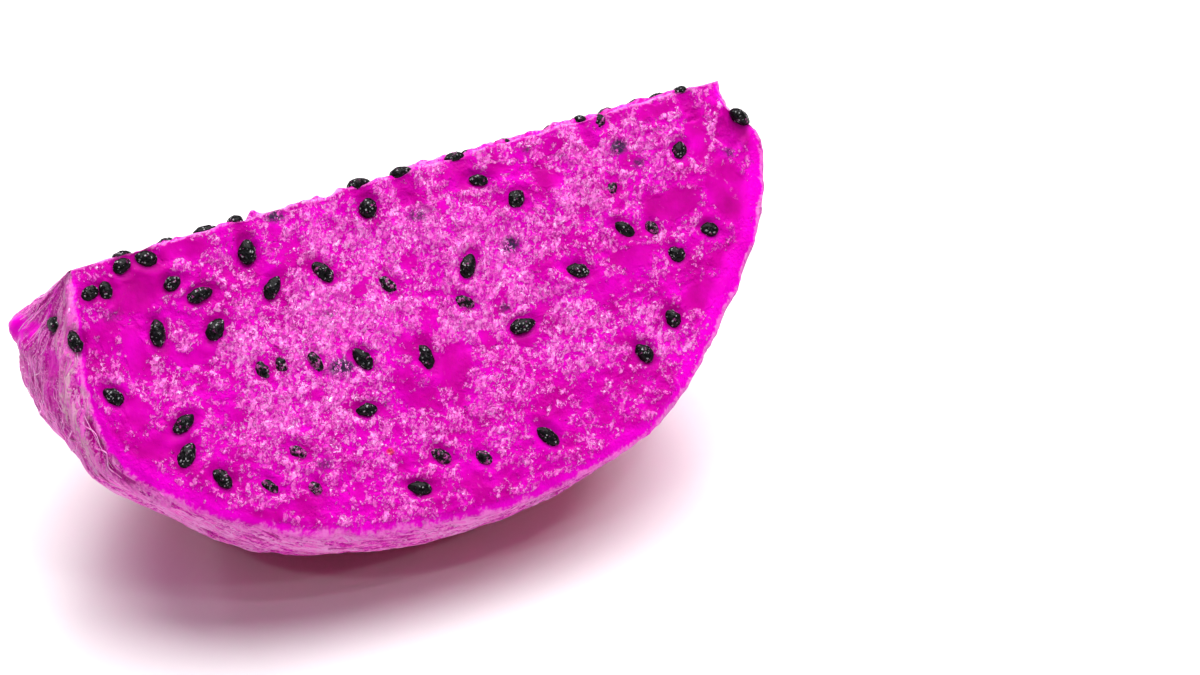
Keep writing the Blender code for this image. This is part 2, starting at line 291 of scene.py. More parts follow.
# Wavelength and height of the ragged rim, and how far in from the rim it reaches
RIM_RAGGED = [(2.6, 0.16), (0.8, 0.09)]
RAGGED_REACH = 0.8

flat_net = net.copy()
near_rim_gap = length_of(net - net[:, NEAR_RIM : NEAR_RIM + 1])
far_rim_gap = length_of(net - net[:, FAR_RIM : FAR_RIM + 1])
rim_gap = np.minimum(near_rim_gap, far_rim_gap)
softness = falloff(rim_gap, RIM_ROUNDING)[..., None]
for _ in range(ROUNDING_STEPS):
    neighbours = (np.roll(net, 1, axis=1) + np.roll(net, -1, axis=1)) / 2
    net = net + (neighbours - net) * softness
rim_outward = net / np.maximum(length_of(net), 1)[..., None]
for wavelength, height in RIM_RAGGED:
    ragged = height * soft_noise(net, wavelength, 21, 2) * falloff(rim_gap, RAGGED_REACH)
    net = net + rim_outward * ragged[..., None]
print("rim rounded by, mm:", round(float(length_of(net - flat_net).max()), 2))

# %% [markdown]
# ## Seeds: where they lie
#
# The seeds sit close under the skin of the cut, most of them flat in it and pointing all ways.
# Scattering them at random would do for the far cut, but on the near one each seed is part of
# the picture, so it has its own place, size and direction. Some are bare and glossy, others are
# still half covered by a film of flesh, and a third kind only shows through as a grey shadow.

# %% Seeds of the cut faces
# Distance along the ridge and down the face, length and width in millimetres, and the turn of
# the pointed end in degrees
BARE_SEEDS = [
    (-32.2, 2.5, 1.8, 1.5, 200), (-30.7, 2.6, 1.9, 1.3, 80), (-28.6, 0.9, 1.9, 1.4, 20),
    (-26.3, 0.9, 2.1, 1.5, 150), (-24.7, 3.7, 1.8, 1.3, 20), (-22.6, 5.4, 2.5, 1.4, 5),
    (-27.4, 7.6, 2.6, 1.5, 80), (-22.2, 8.8, 2.4, 1.6, 42), (-17.2, 2.9, 2.4, 1.7, 75),
    (-16.0, 6.7, 2.5, 1.4, 43), (-11.1, 6.6, 2.6, 1.5, 125), (-33.0, 11.9, 2.2, 1.4, 130),
    (-27.7, 16.1, 2.4, 1.4, 25), (-10.0, 15.3, 2.5, 1.4, 118), (-5.0, 2.2, 2.0, 1.7, 70),
    (2.4, 10.0, 2.6, 1.6, 55), (6.0, 2.6, 1.9, 1.1, 160), (9.0, 5.3, 2.0, 1.7, 30),
    (12.5, 13.4, 2.4, 1.4, 155), (5.7, 16.8, 2.6, 1.5, 0), (-4.3, 16.8, 2.7, 1.5, 98),
    (26.1, 5.3, 1.8, 1.6, 60), (18.3, 11.0, 2.3, 1.4, 135), (26.5, 13.4, 1.9, 1.3, 160),
    (22.5, 14.7, 1.9, 1.5, 135), (-28.3, 18.9, 2.6, 1.6, 45), (-25.9, 21.8, 2.3, 1.4, 118),
    (-11.2, 19.9, 2.1, 1.2, 170), (-8.7, 28.2, 2.4, 1.3, 155), (4.6, 27.3, 2.7, 1.4, 127),
    (20.1, 20.4, 1.9, 1.5, 110), (16.3, 22.7, 2.2, 1.5, 120),
]
FILMED_SEEDS = [
    (-19.3, 13.6, 2.0, 1.5, 100), (-17.5, 13.6, 1.8, 1.3, 95), (-14.3, 14.3, 2.3, 1.3, 110),
    (-5.5, 9.5, 2.2, 1.3, 120), (1.0, 13.1, 2.0, 1.3, 140), (18.4, 7.0, 1.5, 1.1, 40),
    (-18.6, 21.6, 2.2, 1.2, 140), (-22.0, 23.8, 2.2, 1.1, 130), (-18.1, 25.2, 1.7, 1.2, 120),
    (-5.8, 26.0, 2.2, 1.3, 135), (-1.9, 27.3, 2.0, 1.4, 120), (19.3, 0.6, 1.5, 1.1, 240),
    (20.9, 11.6, 1.8, 1.3, 120),
]
RIDGE_SEEDS = [
    (-20.0, 1.3, 2.4, 1.4, 5), (-17.2, 1.1, 2.0, 1.6, 80), (-4.9, 1.0, 2.6, 1.9, 20),
    (-0.7, 0.9, 2.4, 1.7, 15), (4.6, 0.6, 2.1, 1.4, 0), (6.6, 2.0, 2.0, 1.4, 30),
    (9.6, 1.2, 2.0, 1.4, 170), (15.2, 1.9, 2.3, 1.5, 20), (17.6, 1.2, 2.2, 1.5, 110),
    (20.8, 1.6, 2.3, 1.5, 45), (23.8, 1.4, 2.4, 1.5, 175), (26.4, 1.7, 2.4, 1.5, 10),
    (28.3, 0.9, 1.9, 1.4, 95), (-23.8, 2.4, 2.2, 1.4, 150), (-27.9, 2.0, 2.3, 1.4, 30),
]
TYPICAL_SEED = (2.3, 1.4)
FAR_SEED_COUNT, FAR_SEED_SPACING = 30, 4.2
FAR_SEED_RIDGE_MARGIN, FAR_SEED_RIM_MARGIN = 5.0, 3.2


def face_place(x, down, lean):
    return np.array((x, down * math.sin(lean), -down * math.cos(lean)))


def scattered_places():
    """Random places on the far face that keep clear of each other, the ridge and the rim."""
    draw = random.Random(23)
    places = []
    while len(places) < FAR_SEED_COUNT:
        around = math.acos(draw.uniform(-1, 1))
        reach = float(outer_radius(around, FAR)) - FAR_SEED_RIM_MARGIN
        radius = reach * math.sqrt(draw.random())
        place = on_plane(around, FAR, radius)
        clear = all(length_of(place - other) > FAR_SEED_SPACING for other, _ in places)
        if clear and radius * math.sin(around) > FAR_SEED_RIDGE_MARGIN:
            places.append((place, draw.uniform(0, math.tau)))
    return places


class Seed:
    """One seed: its place, the directions of its point, its side and outwards, and its size."""

    def __init__(self, place, out, size, angle, sink, film):
        along = np.array((1.0, 0.0, 0.0))
        side = np.cross(out, along)
        side /= length_of(side)
        along = np.cross(side, out)
        self.out = out
        self.along = along * math.cos(angle) + side * math.sin(angle)
        self.side = side * math.cos(angle) - along * math.sin(angle)
        self.length, self.width = size
        self.ground = place
        self.centre = place - out * self.width * sink
        self.film = film


# How deep a seed sits, as a share of its width, and how much film of flesh covers it
BARE, FILMED, PROUD = (0.12, 0.12), (0.2, 0.6), (-0.05, 0.1)
FAR_FILM, FAR_FILM_EVERY = 0.55, 3
seeds = []
for rows, lean, (sink, film) in (
    (BARE_SEEDS, NEAR, BARE), (FILMED_SEEDS, NEAR, FILMED), (RIDGE_SEEDS, FAR, PROUD),
):
    for x, down, length, width, degrees in rows:
        place = face_place(x, down, lean)
        seeds.append(
            Seed(place, face_normal(lean), (length, width), math.radians(degrees), sink, film)
        )
for number, (place, angle) in enumerate(scattered_places()):
    sink, film = BARE
    film = FAR_FILM if number % FAR_FILM_EVERY == 0 else film
    seeds.append(Seed(place, face_normal(FAR), TYPICAL_SEED, angle, sink, film))
print("seeds of the cut faces:", len(seeds))

# %% Seeds of the outer flesh
# Turn and lean in degrees, length and width in millimetres, and the turn of the pointed end
OUTER_SEEDS = [
    (7.3, -17.4, 2.3, 1.4, 100), (10.1, -43.6, 2.2, 1.3, 96), (173, -43, 2.7, 1.8, 20),
    (64, 18, 2.3, 1.4, 15), (128, 30, 2.3, 1.4, 160),
]
OUTER_FILM = 0.05
OUTWARD_STEP = math.radians(1.5)


def outward(turn, lean):
    """Outward direction of the outer flesh there."""
    def point(turn_there, lean_there):
        return on_plane(turn_there, lean_there, plain_radius(turn_there, lean_there))

    along = point(turn + OUTWARD_STEP, lean) - point(turn - OUTWARD_STEP, lean)
    around = point(turn, lean + OUTWARD_STEP) - point(turn, lean - OUTWARD_STEP)
    out = np.cross(along, around)
    out = out / length_of(out)
    return out if out @ point(turn, lean) > 0 else -out


for place_turn, place_lean, length, width, degrees in OUTER_SEEDS:
    place = back_place(place_turn, place_lean)
    out = outward(math.radians(place_turn), math.radians(place_lean))
    seeds.append(Seed(place, out, (length, width), math.radians(degrees), PROUD[0], OUTER_FILM))
print("seeds in all:", len(seeds))

# %% [markdown]
# ## Relief of the cut flesh
#
# A cut face isn't flat: the knife tears open small juice cells, which stand up as pale grains,
# and between them juice gathers in smooth dark pools. Round each seed the flesh draws back and
# leaves a wet dip with a low lip. A displacement texture could carry this, but here each point
# of the net is moved in code, because the dips belong to the seeds and the same masks also have
# to drive the colour.

# %% Where each point of the net lies
points = net
on_near, on_far = row <= NEAR_RIM, row >= FAR_RIM
down_face = np.hypot(points[..., 1], points[..., 2])
lean_here = np.where(on_near, NEAR, np.where(on_far, FAR, 0.0))
lean_here = np.broadcast_to(lean_here, down_face.shape).copy()
lean_here[:, NEAR_RIM + 1 : FAR_RIM] = back_lean
depth_here = np.maximum(down_face, 0.5)
near_beyond = np.where(on_near, -near_rim_gap, depth_here * (lean_here - NEAR))
far_beyond = np.where(on_far, -far_rim_gap, depth_here * (FAR - lean_here))
raggedness = 0.35 * soft_noise(points, 1.6, 3, 2)
outer = smooth_step(-0.15, 0.55, np.minimum(near_beyond, far_beyond) + raggedness)
cut = 1 - outer
print("share of outer flesh:", round(float(outer.mean()), 2))

# %% Pools and the smooth margin
# Place along the ridge and down the face, and half widths both ways, in millimetres
POOLS = [
    (-28.0, 3.0, 2.9, 2.4), (-30.0, 8.5, 1.4, 2.4), (-23.0, 1.0, 2.2, 0.9), (-3.0, 8.2, 0.9, 0.7),
    (-8.2, 9.0, 1.0, 0.8), (-2.8, 14.0, 0.9, 1.2), (-3.0, 18.6, 1.4, 1.6), (-6.0, 15.6, 1.2, 0.9),
    (12.5, 4.3, 1.8, 0.9), (18.0, 13.7, 2.2, 1.3), (24.0, 10.0, 2.8, 1.4), (8.0, 2.3, 1.2, 0.7),
    (28.0, 5.0, 1.5, 2.0), (29.5, 10.5, 2.0, 3.0), (24.0, 19.0, 3.0, 1.3), (14.0, 1.6, 1.2, 0.7),
    (25.0, 1.0, 2.6, 0.9), (5.5, 18.0, 1.4, 0.8), (-25.0, 10.5, 2.4, 0.9), (2.0, 17.0, 1.3, 1.0),
    (-30.0, 17.5, 3.0, 1.2), (-31.5, 14.0, 1.4, 1.6), (-24.5, 26.2, 3.4, 1.0),
]
# Width of the smooth strip inside the rim, by turn
MARGIN = [(0, 0.5), (15, 0.9), (30, 1.7), (50, 1.1), (90, 0.9), (120, 1.4), (150, 2.2), (180, 1.2)]

warp = 0.6 * np.stack([soft_noise(points, 1.3, 31 + axis, 3) for axis in range(2)], axis=-1)
pool = np.zeros(down_face.shape)
for x, down, wide, tall in POOLS:
    away = np.hypot(
        (points[..., 0] - x + warp[..., 0]) / wide, (down_face - down + warp[..., 1]) / tall
    )
    pool = np.maximum(pool, np.where(on_near, smooth_step(1.05, 0.85, away), 0))
scattered_pools = smooth_step(0.5, 0.62, soft_noise(points, 2.4, 41, 3))
pool = np.maximum(pool, np.where(on_far, scattered_pools, 0.75 * scattered_pools)) * cut
margin_width = curve_at(MARGIN, np.degrees(turn)) * (1 + 0.35 * soft_noise(points, 4.0, 43, 2))
margin = smooth_step(1.3, 0.5, rim_gap / margin_width) * cut
print("pools cover:", round(float(pool[:, :NEAR_RIM].mean()), 2))

# %% Pale and deep regions
# Place along the ridge and down the face, half widths both ways, and strength: above 0 is paler
REGIONS = [
    (-3, 4.5, 5, 3, 0.9), (-10, 11, 5, 4, 0.6), (-21, 11, 2.2, 2.2, 0.5), (-1, 14.5, 1.6, 1.6, 0.7),
    (-19, 19, 3.5, 2, 0.5), (11, 18.5, 2.6, 4, 0.6), (5, 9, 5, 5, 0.3), (-6, 23, 2.4, 2, 0.4),
    (16, 7, 3, 2.4, 0.4), (-30, 11.5, 1.5, 1.5, 0.4), (-14, 17, 4, 3, 0.3), (20, 22, 4, 1.5, 0.3),
    (-28, 4, 3.5, 4.5, -1.0), (-32, 14, 2.6, 6, -0.25), (-28, 22, 4, 3, -0.3), (-20, 27, 6, 2, -0.3),
    (5, 28, 12, 4, -0.6), (24, 9, 5, 3, -0.7), (20, 17, 4, 2, -0.4), (28, 17, 4, 5, -0.8),
    (-3, 18, 2.4, 2, -0.5), (6, 17, 2, 1.2, -0.6), (10, 24, 6, 2, -0.5), (11, 4.5, 3, 1.5, -0.4),
    (31, 5, 2.5, 5, -0.6), (14, 12, 3, 2, -0.3),
]
tone = 0.35 * soft_noise(points, 5.0, 51, 2)
for x, down, wide, tall, strength in REGIONS:
    away = np.hypot((points[..., 0] - x) / wide, (down_face - down) / tall)
    tone += strength * falloff(away, 1) * on_near
tone = np.clip(tone, -1, 1)
print("tone:", round(float(tone.min()), 2), "to", round(float(tone.max()), 2))

# %% Grains
GRAIN_SIZE = 0.95
# Heights in millimetres
SWELLING, RIPPLE, GRAIN_HEIGHT, POOL_DEPTH, CRUMBLE, GRIT_HEIGHT = 0.1, 0.04, 0.05, 0.05, 0.04, 0.05
grain_field = soft_noise(points, GRAIN_SIZE, 53, 4)
grain = smooth_step(-0.25, 0.3, grain_field + 0.08 + 0.3 * tone)
grain = grain * (1 - pool) * (1 - 0.8 * margin) * cut
swelling = SWELLING * soft_noise(points, 4.5, 55, 2) + RIPPLE * soft_noise(points, 2.0, 57)
grit = soft_noise(points, 0.42, 59, 1)
roughness = (CRUMBLE * grain_field + GRIT_HEIGHT * grit) * (1 - pool)
relief = cut * (swelling + GRAIN_HEIGHT * grain - POOL_DEPTH * pool + roughness)
relief = relief * (1 - 0.7 * margin) * smooth_step(-0.2, 2.2, down_face)
print("grains cover:", round(float((grain[:, :NEAR_RIM] > 0.5).mean()), 2))

# %% Dips round the seeds
DIP, DIP_REACH, DIP_LIMIT = 0.18, 0.28, 3.2
LIP, LIP_AT, LIP_REACH = 0.06, 0.7, 0.3
dip_mask = np.zeros(down_face.shape)
for seed in seeds:
    away = points - seed.ground
    close = length_of(away) < DIP_LIMIT
    local = away[close]
    u, v = local @ seed.along, local @ seed.side
    ring = np.hypot(u / (seed.length / 2), v / (seed.width / 2))
    gap = (ring - 1) * seed.width / 2
    dip = np.where(gap < 0, 1, falloff(gap, DIP_REACH))
    strength = 1 - 0.75 * seed.film
    relief[close] -= DIP * strength * dip
    relief[close] += LIP * falloff(gap - LIP_AT, LIP_REACH)
    grain[close] *= 1 - 0.85 * dip * strength
    dip_mask[close] = np.maximum(dip_mask[close], dip * strength)
print("deepest relief, mm:", round(float(relief.min()), 2))

# %% [markdown]
# ## Relief of the outer flesh
#
# Under the peel a dragon fruit is a felt of fine fibres that run from end to end and converge at
# both tips. Pulled off the peel they leave long shallow streaks and pits. Noise that is stretched
# along the turn gives both; its rarest highs become the pits. At the stem end the fibres gather
# into a pale bundle along the rim with dark grooves beside it, and those follow listed lines.

# %% Streaks and pits
FIBRE_STRETCH = 3.2
MEAN_RADIUS = 34.0
# Heights in millimetres
STREAK_HEIGHT, BAND_HEIGHT, PIT_DEPTH = 0.11, 0.1, 0.3
ROUGH_HEIGHT, ROUGH_GRIT, BUNDLE_HEIGHT, BUNDLE_STREAK = 0.14, 0.05, 0.32, 0.2
around_width = lean_here * MEAN_RADIUS * (0.35 + 0.65 * np.sin(turn))
along_length = np.broadcast_to(turn * MEAN_RADIUS, down_face.shape)
fibre_way = np.stack((along_length / FIBRE_STRETCH, around_width, np.zeros_like(around_width)), -1)
fibre_way = fibre_way + 0.5 * warp[..., :1] * np.array((0.0, 1.0, 0.0))
streaks = soft_noise(fibre_way, 0.75, 61, 3)
bands = soft_noise(fibre_way, 2.4, 63, 2)
pits = smooth_step(0.42, 0.8, soft_noise(fibre_way, 1.1, 67, 3)) * smooth_step(-0.4, 0.2, bands)
calm = 1 - 0.75 * smooth_step(32, 16, np.degrees(turn))
rough = ROUGH_HEIGHT * soft_noise(points, 1.1, 91, 3) + ROUGH_GRIT * soft_noise(points, 0.45, 93)
streaked = STREAK_HEIGHT * streaks + BAND_HEIGHT * bands - PIT_DEPTH * pits
relief += outer * (streaked * calm + rough * (1 - calm))
print("pits cover:", round(float(pits[:, NEAR_RIM:FAR_RIM].mean()), 3))

# %% Fibre bundle, grooves and torn lumps of the stem end
# Waypoints of turn and lean in degrees
BUNDLE = [(3.5, -40), (8.7, -41), (11, -41.5), (15.8, -39.6), (21, -39.2), (27.3, -40.2), (36, -42.5)]
SECOND_BUNDLE = [(5, -27), (8, -31), (12, -36.5), (17, -36), (24, -37.5), (33, -41)]
GROOVES = [
    ([(20.5, -43.0), (22.7, -43.0), (24.4, -43.4)], 0.28, 0.4),
    ([(26.5, -42.2), (28.5, -42.6), (30.5, -43.2)], 0.25, 0.4),
    ([(38.5, -41.4), (41, -41.6)], 0.15, 0.25), ([(47.5, -40.6), (50.5, -40.3)], 0.15, 0.22),
    ([(60, -39.9), (64, -39.7)], 0.15, 0.25),
]
# Turn and lean in degrees, height and spread in millimetres
TORN_LUMPS = [(11.6, 6, 0.35, 1.0), (13.4, 26, 0.3, 1.3), (9.6, 13, -0.3, 0.9), (14.5, -3, -0.3, 1.0)]


def surface_line(waypoints, count=80):
    """Evenly spaced points of a line on the outer flesh."""
    places = np.linspace(0, len(waypoints) - 1, count)
    turns, leans = (
        np.radians(curve_at(list(enumerate(column)), places)) for column in zip(*waypoints)
    )
    return on_plane(turns, leans, outer_radius(turns, leans))


def nearness(line, width):
    """1 on the line, and falling off over its width."""
    near_end = points[: COLUMNS // 2]
    gap = np.full(near_end.shape[:2], np.inf)
    for spot in line:
        gap = np.minimum(gap, length_of(near_end - spot))
    full = np.zeros(down_face.shape)
    full[: COLUMNS // 2] = falloff(gap, width)
    return full


bundle = np.maximum(
    nearness(surface_line(BUNDLE), 0.75), 0.8 * nearness(surface_line(SECOND_BUNDLE), 0.45)
)
relief += bundle * (BUNDLE_HEIGHT + BUNDLE_STREAK * streaks)
groove = np.zeros(down_face.shape)
for waypoints, depth, width in GROOVES:
    line = nearness(surface_line(waypoints), width)
    relief -= depth * line
    groove = np.maximum(groove, line)
for lump_turn, lump_lean, height, spread in TORN_LUMPS:
    relief += height * falloff(length_of(points - back_place(lump_turn, lump_lean)), spread)
print("bundle and grooves:", round(float(bundle.max()), 2), round(float(groove.max()), 2))

# %% [markdown]
# ## The ragged ridge
#
# The knife that made the near cut left a clean edge, but just behind it the flesh of the far cut
# tore: scraps up to a millimetre high stand there, some with a seed in them. They are few and
# each one shows against the light, so they are listed, and the points round them are lifted.

# %% Scraps on the ridge
# Place along the ridge, height and half width in millimetres
SCRAPS = [
    (-24.1, 0.4, 0.4), (-23.0, 0.45, 0.4), (-18.8, 0.3, 0.6), (-15.5, 1.0, 0.6), (-12.0, 0.25, 0.6),
    (-9.3, 0.65, 0.5), (-6.9, 0.5, 0.5), (-5.5, 0.9, 0.7), (-3.4, 0.4, 0.5), (-2.0, 0.6, 0.6),
    (1.6, 0.3, 0.6), (4.6, 0.4, 0.8), (6.3, 0.4, 0.6), (9.5, 0.5, 0.6), (12.4, 0.3, 0.5),
    (15.2, 0.4, 0.7), (17.5, 0.4, 0.7), (20.5, 0.4, 0.7), (24.4, 0.4, 1.3), (27.6, 0.45, 0.6),
    (29.6, 0.3, 0.5),
]
SCRAP_PLACE, SCRAP_DEPTH = 1.0, 0.6
SHOULDER, RIDGE_ROUGHNESS = 0.6, 0.05
lift = np.zeros(down_face.shape)
for x, height, half_width in SCRAPS:
    lift += height * falloff(points[..., 0] - x, half_width)
lift *= falloff(down_face - SCRAP_PLACE, SCRAP_DEPTH) * on_far
shoulder = smooth_step(-3, 1, points[..., 0]) * smooth_step(30, 27, points[..., 0]) * on_far
lift += SHOULDER * shoulder * smooth_step(0.5, 1.4, down_face) * smooth_step(5.5, 2.5, down_face)
lift += RIDGE_ROUGHNESS * soft_noise(points, 0.7, 71, 2) * falloff(down_face, 0.4)
lift *= cut
print("highest scrap, mm:", round(float(lift.max()), 2))

# %% [markdown]
# ## From net to mesh
#
# Each point moves along its normal by the relief, and up by the scraps. The thin ends keep only
# part of the relief, or the two sides would cross. The fruit rests on a small flat spot, so no
# point goes below the floor. Masks can go along as attributes, which a material can read.

# %% Move the points
INSIDE = (0.0, 0.0, -8.0)


def net_normals(grid):
    along = np.gradient(grid, axis=0)
    around = np.roll(grid, -1, axis=1) - np.roll(grid, 1, axis=1)
    normal = np.cross(along, around)
    normal = normal / np.maximum(length_of(normal), 1e-9)[..., None]
    inward = (normal * (grid - np.array(INSIDE))).sum(axis=-1).mean() < 0
    return -normal if inward else normal


FLOOR = -RIDGE_MIDDLE.z / MM
FULL_RELIEF_DEPTH = 5.0
end_fade = np.minimum(1, np.abs(net[:, NEAR_RIM, 2]) / FULL_RELIEF_DEPTH)[:, None]
moved = net + net_normals(net) * (relief * end_fade)[..., None]
moved[..., 2] += lift * end_fade
moved[..., 2] = np.maximum(moved[..., 2], FLOOR)
print("relief, mm:", round(float(relief.min()), 2), "to", round(float(relief.max()), 2))

# %% Make the flesh
def in_frame(points):
    """Points in metres in the part's frame, from millimetres about the ridge's middle."""
    return np.asarray(points) * MM + np.array(RIDGE_MIDDLE)


def new_piece(name, points, faces):
    data = bpy.data.meshes.new(name)
    data.from_pydata(in_frame(points), [], faces)
    data.update()
    data.shade_smooth()
    piece = bpy.data.objects.new(name, data)
    bpy.context.scene.collection.objects.link(piece)
    return piece


def ring_faces(rings, sides, tips=True):
    """Faces between rings of points, closed by fans to two tips or by a flat cap at each end."""
    number = np.arange(rings * sides).reshape(rings, sides)
    following = np.roll(number, -1, axis=1)
    quads = np.stack((number[:-1], number[1:], following[1:], following[:-1]), axis=-1)
    faces = quads.reshape(-1, 4).tolist()
    if not tips:
        return faces + [number[0].tolist(), number[-1, ::-1].tolist()]
    for tip, here, there in (
        (rings * sides, number[0], following[0]), (rings * sides + 1, following[-1], number[-1]),
    ):
        faces += [(tip, a, b) for a, b in zip(here.tolist(), there.tolist())]
    return faces


def add_masks(piece, name, *masks):
    """Keep up to three masks of a mesh as one colour attribute."""
    values = np.ones((len(piece.data.vertices), 4), np.float32)
    for channel, mask in enumerate(masks):
        values[: mask.size, channel] = np.clip(mask, 0, 1).ravel()
    attribute = piece.data.attributes.new(name, "FLOAT_COLOR", "POINT")
    attribute.data.foreach_set("color", values.ravel())


tips = np.array((ridge_points(np.array(0.0)), ridge_points(np.array(1.0))))
flesh_points = np.concatenate((moved.reshape(-1, 3), tips))
flesh = new_piece("fruit_flesh", flesh_points, ring_faces(*moved.shape[:2]))
print("flesh:", len(flesh.data.vertices), "points,", len(flesh.data.polygons), "faces")

# %% [markdown]
# ## Seeds that show through
#
# Just under the cut lie seeds that the knife missed. Light that enters the flesh dies on them, so
# they show as soft grey-violet smudges, and here and there torn flesh has an orange or red fleck.
# Nothing stands out of the surface, so these are masks for the colour and not pieces.

# %% Masks for the colour
# Place along the ridge and down the face, length and width in millimetres, and strength
VEILED_SEEDS = [
    (-13.7, 0.5, 1.4, 1.0, 0.6), (-12.2, 15.5, 1.8, 1.3, 0.7), (-11.7, 10.6, 1.2, 1.0, 0.35),
    (-28.2, 12.9, 1.0, 0.8, 0.35), (7.0, 9.3, 1.4, 1.2, 0.65), (-0.8, 4.1, 1.9, 1.0, 0.5),
    (4.5, 14.8, 1.1, 0.9, 0.5), (8.0, 12.4, 1.0, 0.5, 0.3), (13.7, 7.5, 0.8, 0.6, 0.3),
    (0.9, 1.0, 1.3, 0.8, 0.35), (2.2, 6.1, 1.3, 0.8, 0.3), (11.4, 1.2, 0.9, 0.8, 0.45),
    (20.3, 3.4, 1.3, 1.1, 0.7), (21.7, 5.4, 1.0, 0.9, 0.5), (30.9, 6.9, 1.0, 0.8, 0.5),
    (32.5, 6.7, 1.0, 0.9, 0.3), (-24.3, 17.8, 1.2, 1.7, 0.3), (-16.6, 23.4, 1.4, 1.0, 0.45),
    (-17.4, 20.5, 0.8, 0.6, 0.3), (-9.2, 19.9, 1.0, 0.8, 0.35), (10.5, 25.3, 1.0, 1.0, 0.25),
    (23.9, 1.9, 1.0, 0.8, 0.3), (-31.0, 5.0, 2.0, 1.2, 0.35),
]
FAR_VEILS = 16
VEIL_SPREAD = 0.8
# Place, spread in millimetres and strength
FLECKS = [
    (-10.3, 24.2, 0.55, 1.0), (-7.3, 26.5, 0.45, 0.7), (2.4, 28.0, 0.4, 0.6), (20.4, 4.5, 0.3, 0.6),
]
OVAL_PLACE, OVAL_SPREAD, OVAL_STRENGTH = (11.6, 5.9), 1.2, 0.35

veil = np.zeros(down_face.shape)
draw = random.Random(7)
veils = [(face_place(x, down, NEAR), long, wide, s) for x, down, long, wide, s in VEILED_SEEDS]
for _ in range(FAR_VEILS):
    around = draw.uniform(0.4, 2.7)
    place = on_plane(around, FAR, draw.uniform(8, 28))
    veils.append((place, draw.uniform(0.9, 1.7), draw.uniform(0.8, 1.2), draw.uniform(0.3, 0.7)))
for place, long, wide, strength in veils:
    away = points - place
    ring = np.hypot(away[..., 0] / long, np.hypot(away[..., 1], away[..., 2]) / wide)
    veil = np.maximum(veil, strength * falloff(ring, VEIL_SPREAD))
fleck = np.zeros(down_face.shape)
flecks = [(face_place(x, down, NEAR), spread, strength) for x, down, spread, strength in FLECKS]
flecks.append((back_place(*OVAL_PLACE), OVAL_SPREAD, OVAL_STRENGTH))
for place, spread, strength in flecks:
    fleck = np.maximum(fleck, strength * falloff(length_of(points - place), spread))
print("veiled seeds:", len(veils))

# %% [markdown]
# ## Facets of the torn end
#
# Where the stem was torn off, flesh came away in small wet faces without fibres: some shine
# bright, others look deep. They could be cut as planes, but at a millimetre or two across their
# colour tells more than their form, so they are ragged spots in the masks. The pale bundle and
# rim are masks too, as are a painted highlight along the ridge's edge and painted light where
# the thin flesh at the near rim and just behind the ridge is lit through. All of them go along
# on the mesh.

# %% Facets
# Turn and lean in degrees, spread in millimetres, and how bright and how deep the facet is
FACETS = [
    (12.6, 20.0, 1.7, 1.0, 0.0), (10.0, 11.0, 1.0, 0.9, 0.0), (16.4, 11.0, 1.2, 0.0, 0.9),
    (18.0, 22.0, 0.9, 0.0, 0.8), (11.9, -27.7, 1.5, 0.3, 0.8), (16.0, -24.0, 1.6, 0.2, 0.6),
    (7.0, 5.0, 0.6, 0.8, 0.0), (4.5, 14.0, 0.8, 0.6, 0.0),
]
bright_facet, deep_facet = np.zeros(down_face.shape), np.zeros(down_face.shape)
for facet_turn, facet_lean, spread, bright, deep in FACETS:
    away = length_of(points - back_place(facet_turn, facet_lean)) / spread
    shape = smooth_step(1.25, 0.75, away + 0.5 * warp[..., 0]) * (1 - on_near)
    bright_facet = np.maximum(bright_facet, bright * shape)
    deep_facet = np.maximum(deep_facet, deep * shape)
facet = np.maximum(bright_facet, deep_facet)
stem = smooth_step(34, 18, np.degrees(turn)) * outer
print("facets cover:", round(float(facet.mean()), 4))

# %% Keep the masks on the mesh
# Width of the pale band below the near rim, by turn
BAND = [(0, 0.3), (30, 0.5), (45, 0.9), (80, 0.9), (110, 0.5), (180, 0.25)]
RIDGE_HIGHLIGHT_WIDTH = 0.22
band_width = curve_at(BAND, np.degrees(turn))
rim_band = falloff(near_beyond - 0.35 * band_width, band_width) * (lean_here < 0.5)
# Painted highlight: a pale line along the ridge's edge.
ridge_highlight = falloff(down_face, RIDGE_HIGHLIGHT_WIDTH) * cut
# Painted light: the thin flesh at the right part of the near rim is paler, as if lit through.
lit_fringe = smooth_step(0.75, 0.1, rim_gap + 0.2 * warp[..., 0]) * on_near
lit_fringe = lit_fringe * smooth_step(60, 110, np.degrees(turn))
# Painted light: the thin flesh just behind the ridge is paler, as if lit through from behind.
lit_behind_ridge = shoulder * smooth_step(0.2, 1.0, down_face) * smooth_step(3.2, 2, down_face)
pale = bundle
for share_of_pale, mask in ((0.75, rim_band), (0.9, ridge_highlight), (0.75, lit_fringe), (0.6, lit_behind_ridge)):
    pale = np.maximum(pale, share_of_pale * mask)
add_masks(
    flesh, "zones", outer * (1 - facet), np.maximum(margin, bright_facet), np.maximum(pool, facet)
)
add_masks(flesh, "marks", veil, fleck, dip_mask)
add_masks(flesh, "texture", grain, pale, np.maximum(groove, pits * outer))
add_masks(flesh, "tone", 0.5 + 0.5 * tone * cut, stem)
fibre = flesh.data.attributes.new("fibre", "FLOAT_VECTOR", "POINT")
coordinates = np.zeros((len(flesh.data.vertices), 3), np.float32)
coordinates[: fibre_way[..., 0].size] = fibre_way.reshape(-1, 3)
fibre.data.foreach_set("vector", coordinates.ravel())
print("masks:", [attribute.name for attribute in flesh.data.attributes][-5:])

# %% [markdown]
# ## Sums of sockets
#
# A material is a net of nodes, and its maths reads best as a formula. This class wraps one output
# of a node: adding, subtracting or multiplying it adds the Math node for that sum. Colours don't
# survive a Math node, so they are blended with Mix nodes, and every other node comes from one
# method that sets its options first and then feeds its sockets.

